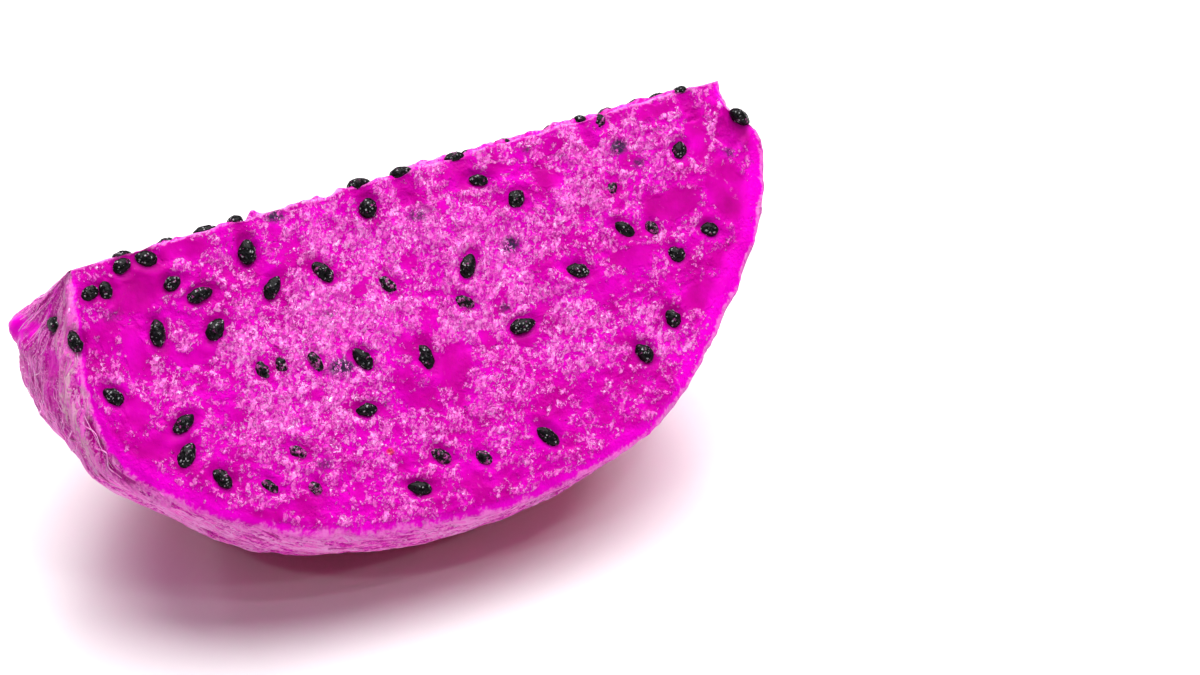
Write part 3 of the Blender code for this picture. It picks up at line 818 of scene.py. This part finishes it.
# %% Wires
class Wire:
    """One output of a node, which adds up like a number."""

    def __init__(self, finish, socket):
        self.finish = finish
        self.socket = socket

    def sum(self, operation, first, second):
        return self.finish.node("ShaderNodeMath", {"operation": operation}, {0: first, 1: second})

    def __add__(self, other):
        return self.sum("ADD", self, other)

    __radd__ = __add__

    def __sub__(self, other):
        return self.sum("SUBTRACT", self, other)

    def __rsub__(self, other):
        return self.sum("SUBTRACT", other, self)

    def __mul__(self, other):
        return self.sum("MULTIPLY", self, other)

    __rmul__ = __mul__

    def __abs__(self):
        return self.sum("ABSOLUTE", self, 0.0)

    def larger(self, other):
        return self.sum("MAXIMUM", self, other)


print("wires add, subtract and multiply")


# %% Finishes
class Finish:
    """A material under construction."""

    def __init__(self, name):
        self.material = bpy.data.materials.new(name)
        self.material.use_nodes = True
        self.tree = self.material.node_tree
        self.shader = self.tree.nodes["Principled BSDF"]

    def node(self, kind, settings=None, sockets=None, output=0):
        made = self.tree.nodes.new(kind)
        for name, value in (settings or {}).items():
            if name == "stops":
                self.place_stops(made.color_ramp, value)
            else:
                setattr(made, name, value)
        for name, value in (sockets or {}).items():
            self.feed(made.inputs[name], value)
        return Wire(self, made.outputs[output])

    def feed(self, socket, value):
        if isinstance(value, Wire):
            self.tree.links.new(value.socket, socket)
        else:
            socket.default_value = value

    def place_stops(self, ramp, stops):
        while len(ramp.elements) < len(stops):
            ramp.elements.new(0.5)
        for element, (place, colour) in zip(ramp.elements, stops):
            element.position = place
            element.color = (*colour, 1.0)

    def ramp(self, value, stops):
        return self.node("ShaderNodeValToRGB", {"stops": stops}, {"Fac": value})

    def mix(self, share, first, second):
        return self.node("ShaderNodeMix", {"data_type": "RGBA"}, {0: share, 6: first, 7: second}, 2)

    def paint(self, ground, share, colour):
        """The ground with that share of one plain colour over it."""
        return self.mix(share, ground, (*colour, 1.0))

    def between(self, value, low, high):
        """0 below low, 1 above high, and smooth between them."""
        settings = {"interpolation_type": "SMOOTHSTEP"}
        sockets = {"Value": value, "From Min": low, "From Max": high}
        return self.node("ShaderNodeMapRange", settings, sockets)

    def surface(self, values):
        """Feed sockets of the shader by their names."""
        for name, value in values.items():
            self.feed(self.shader.inputs[name], value)

    def bump(self, height, distance):
        sockets = {"Strength": 1.0, "Distance": distance * MM, "Height": height}
        return self.node("ShaderNodeBump", None, sockets)

    def all_outputs(self, wire):
        return [Wire(self, output) for output in wire.socket.node.outputs]

    def parts(self, colour):
        """Red, green and blue of a colour, which hold three masks or three chance values."""
        return self.all_outputs(self.node("ShaderNodeSeparateColor", None, {"Color": colour}))

    def masks(self, name):
        return self.parts(self.node("ShaderNodeAttribute", {"attribute_name": name}))

    def shaken(self, where, size, reach):
        """Coordinates pushed about by noise, so that cells get crooked outlines."""
        sockets = {"Vector": where, "Scale": 1 / (size * MM), "Detail": 3.0}
        push = self.node("ShaderNodeTexNoise", None, sockets, 1)
        return self.pushed(where, push, reach * MM)

    def pushed(self, where, push, reach):
        sockets = {0: push, 1: (reach,) * 3, 2: where}
        return self.node("ShaderNodeVectorMath", {"operation": "MULTIPLY_ADD"}, sockets)

    def cells(self, where, size):
        """Cells of about that size: the distance from the edge, and two chance values."""
        sockets = {"Vector": where, "Scale": 1 / (size * MM)}
        edge = self.node("ShaderNodeTexVoronoi", {"feature": "DISTANCE_TO_EDGE"}, sockets)
        return edge, *self.parts(self.node("ShaderNodeTexVoronoi", None, sockets, 1))[:2]

    def dots(self, where, size, share):
        """A small dot in that share of the cells."""
        sockets = {"Vector": where, "Scale": 1 / (size * MM)}
        distance, colour = self.all_outputs(self.node("ShaderNodeTexVoronoi", None, sockets))[:2]
        chosen = self.between(self.parts(colour)[2], 1 - share, 1.02 - share)
        return self.between(0.45 - distance, 0.0, 0.12) * chosen

    def grit(self, size, detail=3.0, roughness=0.55, where=None):
        """Noise with grains of about that size in millimetres."""
        sockets = {
            "Vector": where or self.place(), "Scale": 1 / (size * MM),
            "Detail": detail, "Roughness": roughness,
        }
        return self.node("ShaderNodeTexNoise", None, sockets)

    def place(self):
        """The point's own place in the piece, in metres."""
        return self.node("ShaderNodeTexCoord", output=3)


print("a finish is a Principled shader and the nodes before it")

# %% [markdown]
# ## The flesh's colour
#
# The dye of a red dragon fruit is nearly pure magenta: it takes all green light and lets red and
# blue pass. Wet juice looks deep and even, and torn grains scatter light and look pink. One noise
# could blend the two, but that looks like fog, because real grains have edges. So the juice has a
# ramp of deep colours and the grains one of pale ones, and cells cut the grains out: flakes of
# half a millimetre, crumbs half that size, and thin curls where a noise passes through its middle
# value. The masks say how thick they crowd. The plain numbers in these sums are weights, so each
# can be turned up or down without touching the rest.

# %% Colours of the flesh
JUICE, DEEP = (0.42, 0.0, 0.22), (0.56, 0.0, 0.32)
CLEAR, BRIGHT = (0.72, 0.0, 0.49), (0.88, 0.0, 0.64)
ROSE, GRAIN, PALEST = (0.84, 0.06, 0.56), (0.94, 0.17, 0.68), (0.99, 0.34, 0.82)
VEIL, FLECK = (0.05, 0.02, 0.07), (0.72, 0.03, 0.06)
PAINTED_HIGHLIGHT, PAINTED_SHADE_SPECK = (1.0, 0.5, 0.88), (0.34, 0.0, 0.24)
FINE_SIZE, CLUSTER_SIZE, BROAD_SIZE = 0.3, 0.8, 3.0
FLAKE_SIZE, CRUMB_SIZE, CURL_SIZE, CURL_WIDTH = 0.5, 0.26, 0.62, 0.045
PAINTED_HIGHLIGHT_DOT, SHADE_SPECK_DOT = 0.2, 0.22
FLAKE_SLANT, FLAKE_STRETCH = (0.0, -0.656, 0.885), (1.9, 0.9, 0.9)

finish = Finish("dragon_fruit_flesh")
outer_mask, margin_mask, pool_mask = finish.masks("zones")[:3]
veil_mask, fleck_mask, dip_wire = finish.masks("marks")[:3]
grain_mask, pale_and_lit_mask, groove_pit_shade_mask = finish.masks("texture")[:3]
tone_mask, stem_mask = finish.masks("tone")[:2]
where = finish.place()
fine = finish.grit(FINE_SIZE)
cluster = finish.grit(CLUSTER_SIZE, 4.0, 0.65)
broad = finish.grit(BROAD_SIZE)
print("masks and noises:", len(finish.tree.nodes), "nodes")

# %% Flakes, crumbs and curls
crowd = 0.38 + (grain_mask - 0.5) * 0.4 + (tone_mask - 0.5) * 0.8 + (cluster - 0.5) * 2.4
crowd = crowd - pool_mask * 0.42 - margin_mask * 0.3 - dip_wire * 0.5
crooked = finish.node("ShaderNodeMapping", {"vector_type": "TEXTURE"}, {
    "Vector": finish.shaken(where, 0.4, 0.75), "Rotation": FLAKE_SLANT, "Scale": FLAKE_STRETCH,
})
flake_edge, flake_chance, flake_shade = finish.cells(crooked, FLAKE_SIZE)
flake = finish.between(crowd - flake_chance, -0.03, 0.04) * finish.between(flake_edge, 0.04, 0.12)
crumb_edge, crumb_chance, crumb_shade = finish.cells(crooked, CRUMB_SIZE)
crumb = finish.between(crowd * 0.7 - crumb_chance, -0.03, 0.04)
crumb = crumb * finish.between(crumb_edge, 0.06, 0.14)
level = abs(finish.grit(CURL_SIZE, 1.0, where=crooked) - 0.5)
curl = finish.between(CURL_WIDTH - level, 0.0, 0.012)
curl = curl * finish.between(crowd + (fine - 0.5) * 1.8, 0.26, 0.34)
raised = (flake.larger(crumb) * 0.85).larger(curl)
print("with what stands up:", len(finish.tree.nodes), "nodes")

# %% Colours of the cut
juice = finish.ramp(
    0.52 + (broad - 0.5) * 1.2 + margin_mask * 0.4 - pool_mask * 0.1 + (tone_mask - 0.5) * 0.24,
    [(0.1, JUICE), (0.35, DEEP), (0.6, CLEAR), (0.95, BRIGHT)],
)
shade = crumb_shade * 0.4 + flake_shade * 0.4 + (fine - 0.5) * 1.2 + tone_mask * 0.24 - 0.06
grains = finish.ramp(shade, [(0.12, CLEAR), (0.34, ROSE), (0.62, GRAIN), (0.92, PALEST)])
patch = finish.between(crowd + (fine - 0.5) * 0.9, 0.45, 0.7)
juice = finish.paint(juice, patch * 0.24, GRAIN)
cut_colour = finish.mix(raised, juice, grains)
# Painted highlights: pale dots in the colour stand for the tiny sparks of light on the wet grains.
painted_highlights = finish.dots(crooked, PAINTED_HIGHLIGHT_DOT, 0.09) * finish.between(crowd, 0.1, 0.5)
cut_colour = finish.paint(cut_colour, painted_highlights * 0.7, PAINTED_HIGHLIGHT)
# Painted shade: dark dots among crowded grains stand for the small gaps between them that lie in
# shade.
shade_specks = finish.dots(crooked, SHADE_SPECK_DOT, 0.1) * finish.between(crowd, 0.4, 0.7)
cut_colour = finish.paint(cut_colour, shade_specks * 0.6, PAINTED_SHADE_SPECK)
print("cut colours:", len(finish.tree.nodes), "nodes")

# %% [markdown]
# ## The outer flesh's colour
#
# The outer flesh is a pale felt of fibres. Its patterns are read in the fibre coordinates of the
# mesh, so they are drawn out from end to end as the fibres are: mottled felt, hairs where a noise
# passes through its middle value, webs where cells of fibre meet, and darker hollows. An image of
# fibres would have to be wrapped round both tips; these patterns converge there by themselves.
# The side facing down is painted redder, so it throws red light into the shadow below: painted light.

# %% Patterns along the fibres
STREAK, FELT, STRAND = (0.50, 0.0, 0.28), (0.94, 0.12, 0.62), (0.98, 0.38, 0.79)
HUSKY, PAINTED_RED_GLOW = (0.86, 0.46, 0.62), (0.90, 0.03, 0.20)
# Scale across the fibres and width of the line, for hairs and for webs
HAIRS = [(0.55, 0.035), (1.2, 0.05)]
WEBS = [(0.75, 0.07), (1.7, 0.08)]
WEB_BEND = 0.7
fibre_wire = finish.node("ShaderNodeAttribute", {"attribute_name": "fibre"}, output=1)


def along_fibres(scale, detail=3.0):
    sockets = {"Vector": fibre_wire, "Scale": scale, "Detail": detail, "Distortion": 0.4}
    return finish.node("ShaderNodeTexNoise", None, sockets)


def thin_lines(scale, width):
    """Lines where a noise passes through its middle value."""
    return finish.between(width - abs(along_fibres(scale, 2.0) - 0.5), 0.0, width)


def web(scale, width):
    """Thin lines that meet and part, drawn out along the fibres."""
    sockets = {"Vector": fibre_wire, "Scale": 1.4, "Detail": 3.0}
    bent = finish.pushed(fibre_wire, finish.node("ShaderNodeTexNoise", None, sockets, 1), WEB_BEND)
    sockets = {"Vector": bent, "Scale": scale}
    edge = finish.node("ShaderNodeTexVoronoi", {"feature": "DISTANCE_TO_EDGE"}, sockets)
    return finish.between(width - edge, 0.0, width * 0.6)


threads = along_fibres(2.4, 5.0)
mottle = along_fibres(0.6)
hairs = thin_lines(*HAIRS[0]).larger(thin_lines(*HAIRS[1]))
hairs = hairs * finish.between(mottle + fine * 0.4, 0.45, 0.75)
webs = web(*WEBS[0]).larger(web(*WEBS[1]))
webs = webs * finish.between(mottle + (fine - 0.5) * 0.8, 0.4, 0.55)
hairs = (hairs * 0.8).larger(webs)
print("with the fibres:", len(finish.tree.nodes), "nodes")

# %% Colours of the outer flesh
FRECKLE_DOT = 0.22
felt = (threads - 0.5) * 1.8 + (mottle - 0.5) * 1.6 + (fine - 0.5) * 1.4 + 0.52 - stem_mask * 0.2
outer_colour = finish.ramp(felt, [(0.1, STREAK), (0.32, CLEAR), (0.56, FELT), (0.95, GRAIN)])
hollows = finish.between(0.4 - along_fibres(1.2, 4.0) + (fine - 0.5) * 0.1, 0.0, 0.05)
outer_colour = finish.paint(outer_colour, hollows * 0.8, STREAK)
freckles = finish.dots(where, FRECKLE_DOT, 0.5) * stem_mask
outer_colour = finish.paint(outer_colour, freckles * 0.7, STRAND)
outer_colour = finish.paint(outer_colour, hairs * (0.85 - stem_mask * 0.45), STRAND)
normal = finish.node("ShaderNodeNewGeometry", output=1)
facing_up = finish.node("ShaderNodeSeparateXYZ", None, {0: normal}, 2)
# Painted light: the side facing down is redder, so the shadow under the wedge gets red bounce light.
underside = finish.between((mottle - 0.5) * 0.3 - facing_up, 0.62, 0.94)
outer_colour = finish.paint(outer_colour, underside * 0.8, PAINTED_RED_GLOW)
print("outer colours:", len(finish.tree.nodes), "nodes")

# %% Both together, and what lies in them
colour = finish.mix(outer_mask, cut_colour, outer_colour)
# Pale bundle and rind, with the painted highlight on the ridge and the painted light of the thin
# rims.
soft_pale_and_lit = finish.between(pale_and_lit_mask + (threads - 0.5) * 1.8 + (fine - 0.5) * 1.0, 0.3, 0.9)
colour = finish.paint(colour, soft_pale_and_lit * 0.85, GRAIN)
colour = finish.paint(colour, soft_pale_and_lit * hairs * 0.3, STRAND)
colour = finish.paint(colour, soft_pale_and_lit * hairs * stem_mask, HUSKY)
# Grooves and pits painted darker: partly the deep flesh bared there, partly painted shade in the
# recess.
dark = finish.between(groove_pit_shade_mask + (fine - 0.5) * 1.2, 0.4, 0.8)
colour = finish.paint(colour, dark * 0.8, STREAK)
colour = finish.paint(colour, dip_wire * 0.5, JUICE)
smudge = finish.between(veil_mask * (0.3 + fine * 1.4), 0.15, 0.6)
colour = finish.paint(colour, smudge * (1 - crumb * 0.9), VEIL)
torn = finish.between(fleck_mask * (cluster + 0.2), 0.34, 0.6)
colour = finish.paint(colour, torn * 0.85, FLECK)
print("all colours:", len(finish.tree.nodes), "nodes")

# %% [markdown]
# ## Wetness and grain of the flesh
#
# Cut fruit is wet, and each grain catches a spark of light. A clear coat is that film of juice.
# Only the raised grains have a full one: on a flat pool it would mirror the white room and hide
# the deep colour. A little light goes into the flesh and comes out beside, which softens the
# grains and warms the thin rims. Bumps finer than the net finish the grains and the fibres.

# %% Gloss and fine bumps
BUMP_HEIGHT = 0.2
cut_bumps = raised * 0.8 + fine * 0.6 * (1 - pool_mask * 0.8)
height = cut_bumps * (1 - outer_mask) + (threads + hairs * 0.5 + fine * 0.4) * outer_mask
finish.surface({
    "Base Color": colour,
    "Roughness": 0.32 + raised * 0.08 + outer_mask * 0.2,
    "Coat Weight": raised * (1 - outer_mask) + outer_mask * 0.12,
    "Normal": finish.bump(height, BUMP_HEIGHT),
    "Specular IOR Level": 0.04, "Coat Roughness": 0.12, "Coat IOR": 1.4, "IOR": 1.38,
    "Subsurface Weight": 0.1, "Subsurface Scale": 0.6 * MM, "Subsurface Radius": (1.0, 0.06, 0.35),
})
flesh.data.materials.append(finish.material)
print("flesh finish:", len(finish.tree.nodes), "nodes")

# %% [markdown]
# ## The seeds
#
# A seed is a drop a little over two millimetres long, blunt at one end, with a hard black coat
# that is pitted all over and varnished with juice. Each one is a small turned form: rings along
# its length whose width follows a drop's curve. One mesh holds them all, and their pits are real
# dents, because a spark of light breaks up on them.

# %% Make the seeds
SEED_RINGS, SEED_SIDES = 22, 18
SEED_THICKNESS = 0.78
SEED_SCALE = 0.98
DENT_DEPTH = 0.1


def drop_width(along):
    """Half width of a drop, 1 at its widest."""
    return np.sqrt(along) * (1 - along) ** 0.62 / 0.463


along = (1 - np.cos(np.linspace(0, np.pi, SEED_RINGS + 2)[1:-1])) / 2
angle = np.linspace(0, math.tau, SEED_SIDES, endpoint=False)[None, :]
half = drop_width(along)[:, None]
ring_shape = np.stack(np.broadcast_arrays(
    (along - 0.5)[:, None], np.cos(angle) * half / 2, np.sin(angle) * half / 2 * SEED_THICKNESS,
), axis=-1)
drop = np.concatenate((ring_shape.reshape(-1, 3), [(-0.5, 0, 0), (0.5, 0, 0)]))
drop_faces = ring_faces(SEED_RINGS, SEED_SIDES)
seed_points, seed_faces, seed_film = [], [], []
for number, seed in enumerate(seeds):
    size = np.array((seed.length, seed.width, seed.width)) * SEED_SCALE
    body = drop * size
    shake = soft_noise(body + number * 7.1, 0.4, 81, 3)
    body = body * (1 + DENT_DEPTH / (seed.width / 2) * shake[:, None] * np.array((0.3, 1, 1)))
    axes = np.stack((seed.along, seed.side, seed.out))
    offset = len(seed_points) * len(drop)
    seed_points.append(seed.centre + body @ axes)
    seed_faces += [tuple(corner + offset for corner in face) for face in drop_faces]
    seed_film.append(np.full(len(drop), seed.film))
seed_piece = new_piece("fruit_seeds", np.concatenate(seed_points), seed_faces)
add_masks(seed_piece, "film", np.concatenate(seed_film))
print("seeds:", len(seeds), "and", len(seed_piece.data.polygons), "faces")

# %% [markdown]
# ## The seeds' finish
#
# A seed is black, and a smooth clear coat gives it the wet spark. Many of its sparks are smaller
# than a pit, and at this distance they'd be lost, so pale dots in the colour stand for those. The
# film of flesh on some seeds is patches of pink that a noise breaks up, more where the mask says.

# %% Black seeds with a film of juice
HUSK, HUSK_GREY = (0.002, 0.002, 0.002), (0.01, 0.009, 0.012)
FILM, GLINT = (0.62, 0.09, 0.42), (0.5, 0.5, 0.52)
PIT_SIZE, SMEAR_SIZE, GLINT_DOT = 0.2, 0.5, 0.24
finish = Finish("dragon_fruit_seed")
film_mask = finish.masks("film")[0]
pitting = finish.grit(PIT_SIZE, 2.0)
smear = finish.grit(SMEAR_SIZE, 4.0, 0.65)
glints = finish.dots(finish.shaken(finish.place(), 0.2, 0.25), GLINT_DOT, 0.34)
glints = glints * finish.between(smear, 0.4, 0.54)
cling = finish.between(smear + film_mask * 0.2, 0.62, 0.76)
husk = finish.ramp(pitting, [(0.4, HUSK), (0.62, HUSK_GREY)])
husk = finish.paint(husk, glints * 0.85, GLINT)
finish.surface({
    "Base Color": finish.paint(husk, cling * 0.85, FILM),
    "Roughness": pitting * 0.4 + 0.12,
    "Normal": finish.bump(pitting + glints * 0.4 + smear * cling * 0.5, 0.24),
    "Coat Weight": 0.14, "Coat Roughness": 0.06, "Specular IOR Level": 0.03,
})
seed_piece.data.materials.append(finish.material)
print("seed finish:", len(finish.tree.nodes), "nodes")

# %% [markdown]
# ## Loose fibres
#
# Single fibres stand proud of the flesh, most of them at the stem end, each thinner than a fifth
# of a millimetre. Painting them would leave the outline smooth, so they are thin tubes that
# follow lines of turn and lean, waver a little and taper at both ends.

# %% Lay the fibres
TUBE_SIDES, TUBE_STEPS = 6, 40
THINNEST, THICKEST = 0.04, 0.08
WAVER = 0.0016
FURTHEST_LEANS = (-43.6, 43)
# How many fibres, then ranges in degrees of the start, the reach and the lean, and the wander
FIBRE_KINDS = [
    (34, (4, 14), (9, 22), (-42, -36), 1.2), (60, (4, 24), (3, 10), (-40, 40), 5.0),
    (40, (20, 155), (8, 18), (-43, 42), 1.6),
]
draw = random.Random(91)


def fibre_line(start, end, lean, wander):
    """Waypoints of a fibre that keeps about the same lean."""
    waypoints = []
    for stop in np.linspace(start, end, 6):
        lean = lean + draw.uniform(-wander, wander)
        lean = min(max(lean, FURTHEST_LEANS[0]), FURTHEST_LEANS[1])
        waypoints.append((stop, lean))
    return waypoints


def tube(line, radius):
    """Points of a thin tube that tapers at both ends."""
    ahead = np.gradient(line, axis=0)
    ahead /= length_of(ahead)[:, None]
    out = line / length_of(line)[:, None]
    side = np.cross(ahead, out)
    side /= length_of(side)[:, None]
    out = np.cross(side, ahead)
    taper = np.sin(np.linspace(0.02, 0.98, len(line)) * np.pi) ** 0.4 * radius
    angle = np.linspace(0, math.tau, TUBE_SIDES, endpoint=False)
    cosines, sines = np.cos(angle)[None, :, None], np.sin(angle)[None, :, None]
    ring = side[:, None] * cosines + out[:, None] * sines
    return (line[:, None] + ring * taper[:, None, None]).reshape(-1, 3)


lines = []
for count, starts, reaches, leans, wander in FIBRE_KINDS:
    for _ in range(count):
        start = draw.uniform(*starts)
        lines.append(
            fibre_line(start, start + draw.uniform(*reaches), draw.uniform(*leans), wander)
        )
tube_faces = ring_faces(TUBE_STEPS, TUBE_SIDES, tips=False)
fibre_points, fibre_faces, used = [], [], 0
for waypoints in lines:
    line = surface_line(waypoints, TUBE_STEPS)
    line = line * (1 + WAVER * np.sin(np.linspace(0, 9, TUBE_STEPS) + used))[:, None]
    tube_points = tube(line, draw.uniform(THINNEST, THICKEST))
    tube_points[:, 2] = np.maximum(tube_points[:, 2], FLOOR)
    fibre_faces += [[corner + used for corner in face] for face in tube_faces]
    fibre_points.append(tube_points)
    used += len(tube_points)
fibres = new_piece("fibre_strands", np.concatenate(fibre_points), fibre_faces)
print("fibres:", len(lines), "and", len(fibres.data.polygons), "faces")

# %% [markdown]
# ## The fibres' finish
#
# A fibre holds less dye than the flesh, so it is pale pink and a little see-through. It dries
# sooner too, so its gloss is softer.

# %% Pale fibres
finish = Finish("dragon_fruit_fibre")
dryness = finish.grit(CLUSTER_SIZE)
finish.surface({
    "Base Color": finish.ramp(dryness, [(0.35, FELT), (0.58, STRAND), (0.8, HUSKY)]),
    "Roughness": dryness * 0.3 + 0.25, "Coat Weight": 0.3, "Coat Roughness": 0.15,
    "Subsurface Weight": 0.35, "Subsurface Scale": 0.5 * MM, "Subsurface Radius": (1.0, 0.25, 0.6),
})
fibres.data.materials.append(finish.material)
print("fibre finish:", len(finish.tree.nodes), "nodes")

# %% [markdown]
# ## The pieces stand for the solid
#
# The solid wedge stays in the file for what touches and weighs. The three pieces take its place
# in the picture and ride with it.

# %% Hand the pieces over
pieces = (flesh, seed_piece, fibres)
for piece in pieces:
    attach(piece, "root")
    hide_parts("fruit_wedge")
print("pieces:", [piece.name for piece in pieces])

# %% [markdown]
# ## Floor, light and camera
#
# The wedge lies on something white and glossy that picks up its pink. Broad light comes from
# high up and a little behind, so the shadow falls towards the viewer and the near cut is lit at a
# slant. The room is seen white but gives little light. Four small lights, three of them on the
# camera's side, draw the sparks on the wet flesh.

# %% White floor
FLOOR_SIZE = 4.0
GLAZE = (0.92, 0.91, 0.91)
floor_data = bpy.data.meshes.new("floor")
edge = FLOOR_SIZE / 2
corners = [(-edge, -edge, 0), (edge, -edge, 0), (edge, edge, 0), (-edge, edge, 0)]
floor_data.from_pydata(corners, [], [(0, 1, 2, 3)])
floor = bpy.data.objects.new("floor", floor_data)
bpy.context.scene.collection.objects.link(floor)
finish = Finish("white_glaze")
finish.surface({"Base Color": (*GLAZE, 1), "Roughness": 0.3, "Specular IOR Level": 0.5})
floor_data.materials.append(finish.material)
floor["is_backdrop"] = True
print("floor, m:", FLOOR_SIZE)

# %% Light
ROOM_LIGHT, SEEN_ROOM = 0.06, 1.0
world = bpy.data.worlds.new("pale_room")
world.use_nodes = True
bpy.context.scene.world = world
nodes, links = world.node_tree.nodes, world.node_tree.links
nodes["Background"].inputs["Color"].default_value = (1, 1, 1, 1)
nodes["Background"].inputs["Strength"].default_value = ROOM_LIGHT
seen = nodes.new("ShaderNodeBackground")
seen.inputs["Strength"].default_value = SEEN_ROOM
ray, chooser = nodes.new("ShaderNodeLightPath"), nodes.new("ShaderNodeMixShader")
links.new(ray.outputs["Is Camera Ray"], chooser.inputs[0])
links.new(nodes["Background"].outputs[0], chooser.inputs[1])
links.new(seen.outputs[0], chooser.inputs[2])
links.new(chooser.outputs[0], nodes["World Output"].inputs[0])


SOFTBOX_PLACE, SOFTBOX_SIZE, SOFTBOX_POWER = (0.24, 0.27, 1.0), (1.8, 1.2), 30.5
SPARK_SIZE, SPARK_POWER, SPARK_AIM = (0.06, 0.06), 0.65, (0, 0, 0.02)
SPARK_PLACES = {
    "right": (0.42, -0.72, 0.78), "high": (0.12, -0.5, 1.0), "left": (-0.6, -0.35, 0.85),
    "far": (-0.4, 0.8, 0.6),
}


def add_light(name, place, aim, size, power):
    data = bpy.data.lights.new(name, "AREA")
    data.shape, data.size, data.size_y, data.energy = "ELLIPSE", *size, power
    light = bpy.data.objects.new(name, data)
    light.location = place
    light.rotation_mode = "QUATERNION"
    light.rotation_quaternion = (Vector(aim) - Vector(place)).to_track_quat("-Z", "Y")
    light.visible_camera = False
    bpy.context.scene.collection.objects.link(light)


add_light("high_softbox", SOFTBOX_PLACE, (0, 0, 0), SOFTBOX_SIZE, SOFTBOX_POWER)
for side, place in SPARK_PLACES.items():
    add_light("spark_" + side, place, SPARK_AIM, SPARK_SIZE, SPARK_POWER)
bpy.context.scene.view_settings.view_transform = "Standard"

# %% Camera
AZIMUTH, ELEVATION = math.radians(-26.35), math.radians(40)
AIM = Vector((0.0213, 0.0, 0.0059))
DISTANCE = 0.333
LENS, SENSOR = 100, 36
flat = math.cos(ELEVATION)
back = Vector((math.sin(AZIMUTH) * flat, -math.cos(AZIMUTH) * flat, math.sin(ELEVATION)))
lens = bpy.data.cameras.new("camera")
lens.lens, lens.sensor_width, lens.sensor_fit = LENS, SENSOR, "HORIZONTAL"
lens.clip_start = 0.01
camera = bpy.data.objects.new("camera", lens)
camera.location = AIM + back * DISTANCE
camera.rotation_mode = "QUATERNION"
camera.rotation_quaternion = (-back).to_track_quat("-Z", "Y")
bpy.context.scene.collection.objects.link(camera)
bpy.context.scene.camera = camera
print("camera at:", [round(value, 3) for value in camera.location])

# %% Note the sizes
sizes = {
    "cad_box": [list(corner) for corner in solid_box],
    "visual_box": [list(corner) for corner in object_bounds()],
}
print("visual wedge, mm:", [
    round((high - low) / MM, 1) for low, high in zip(*sizes["visual_box"])
])
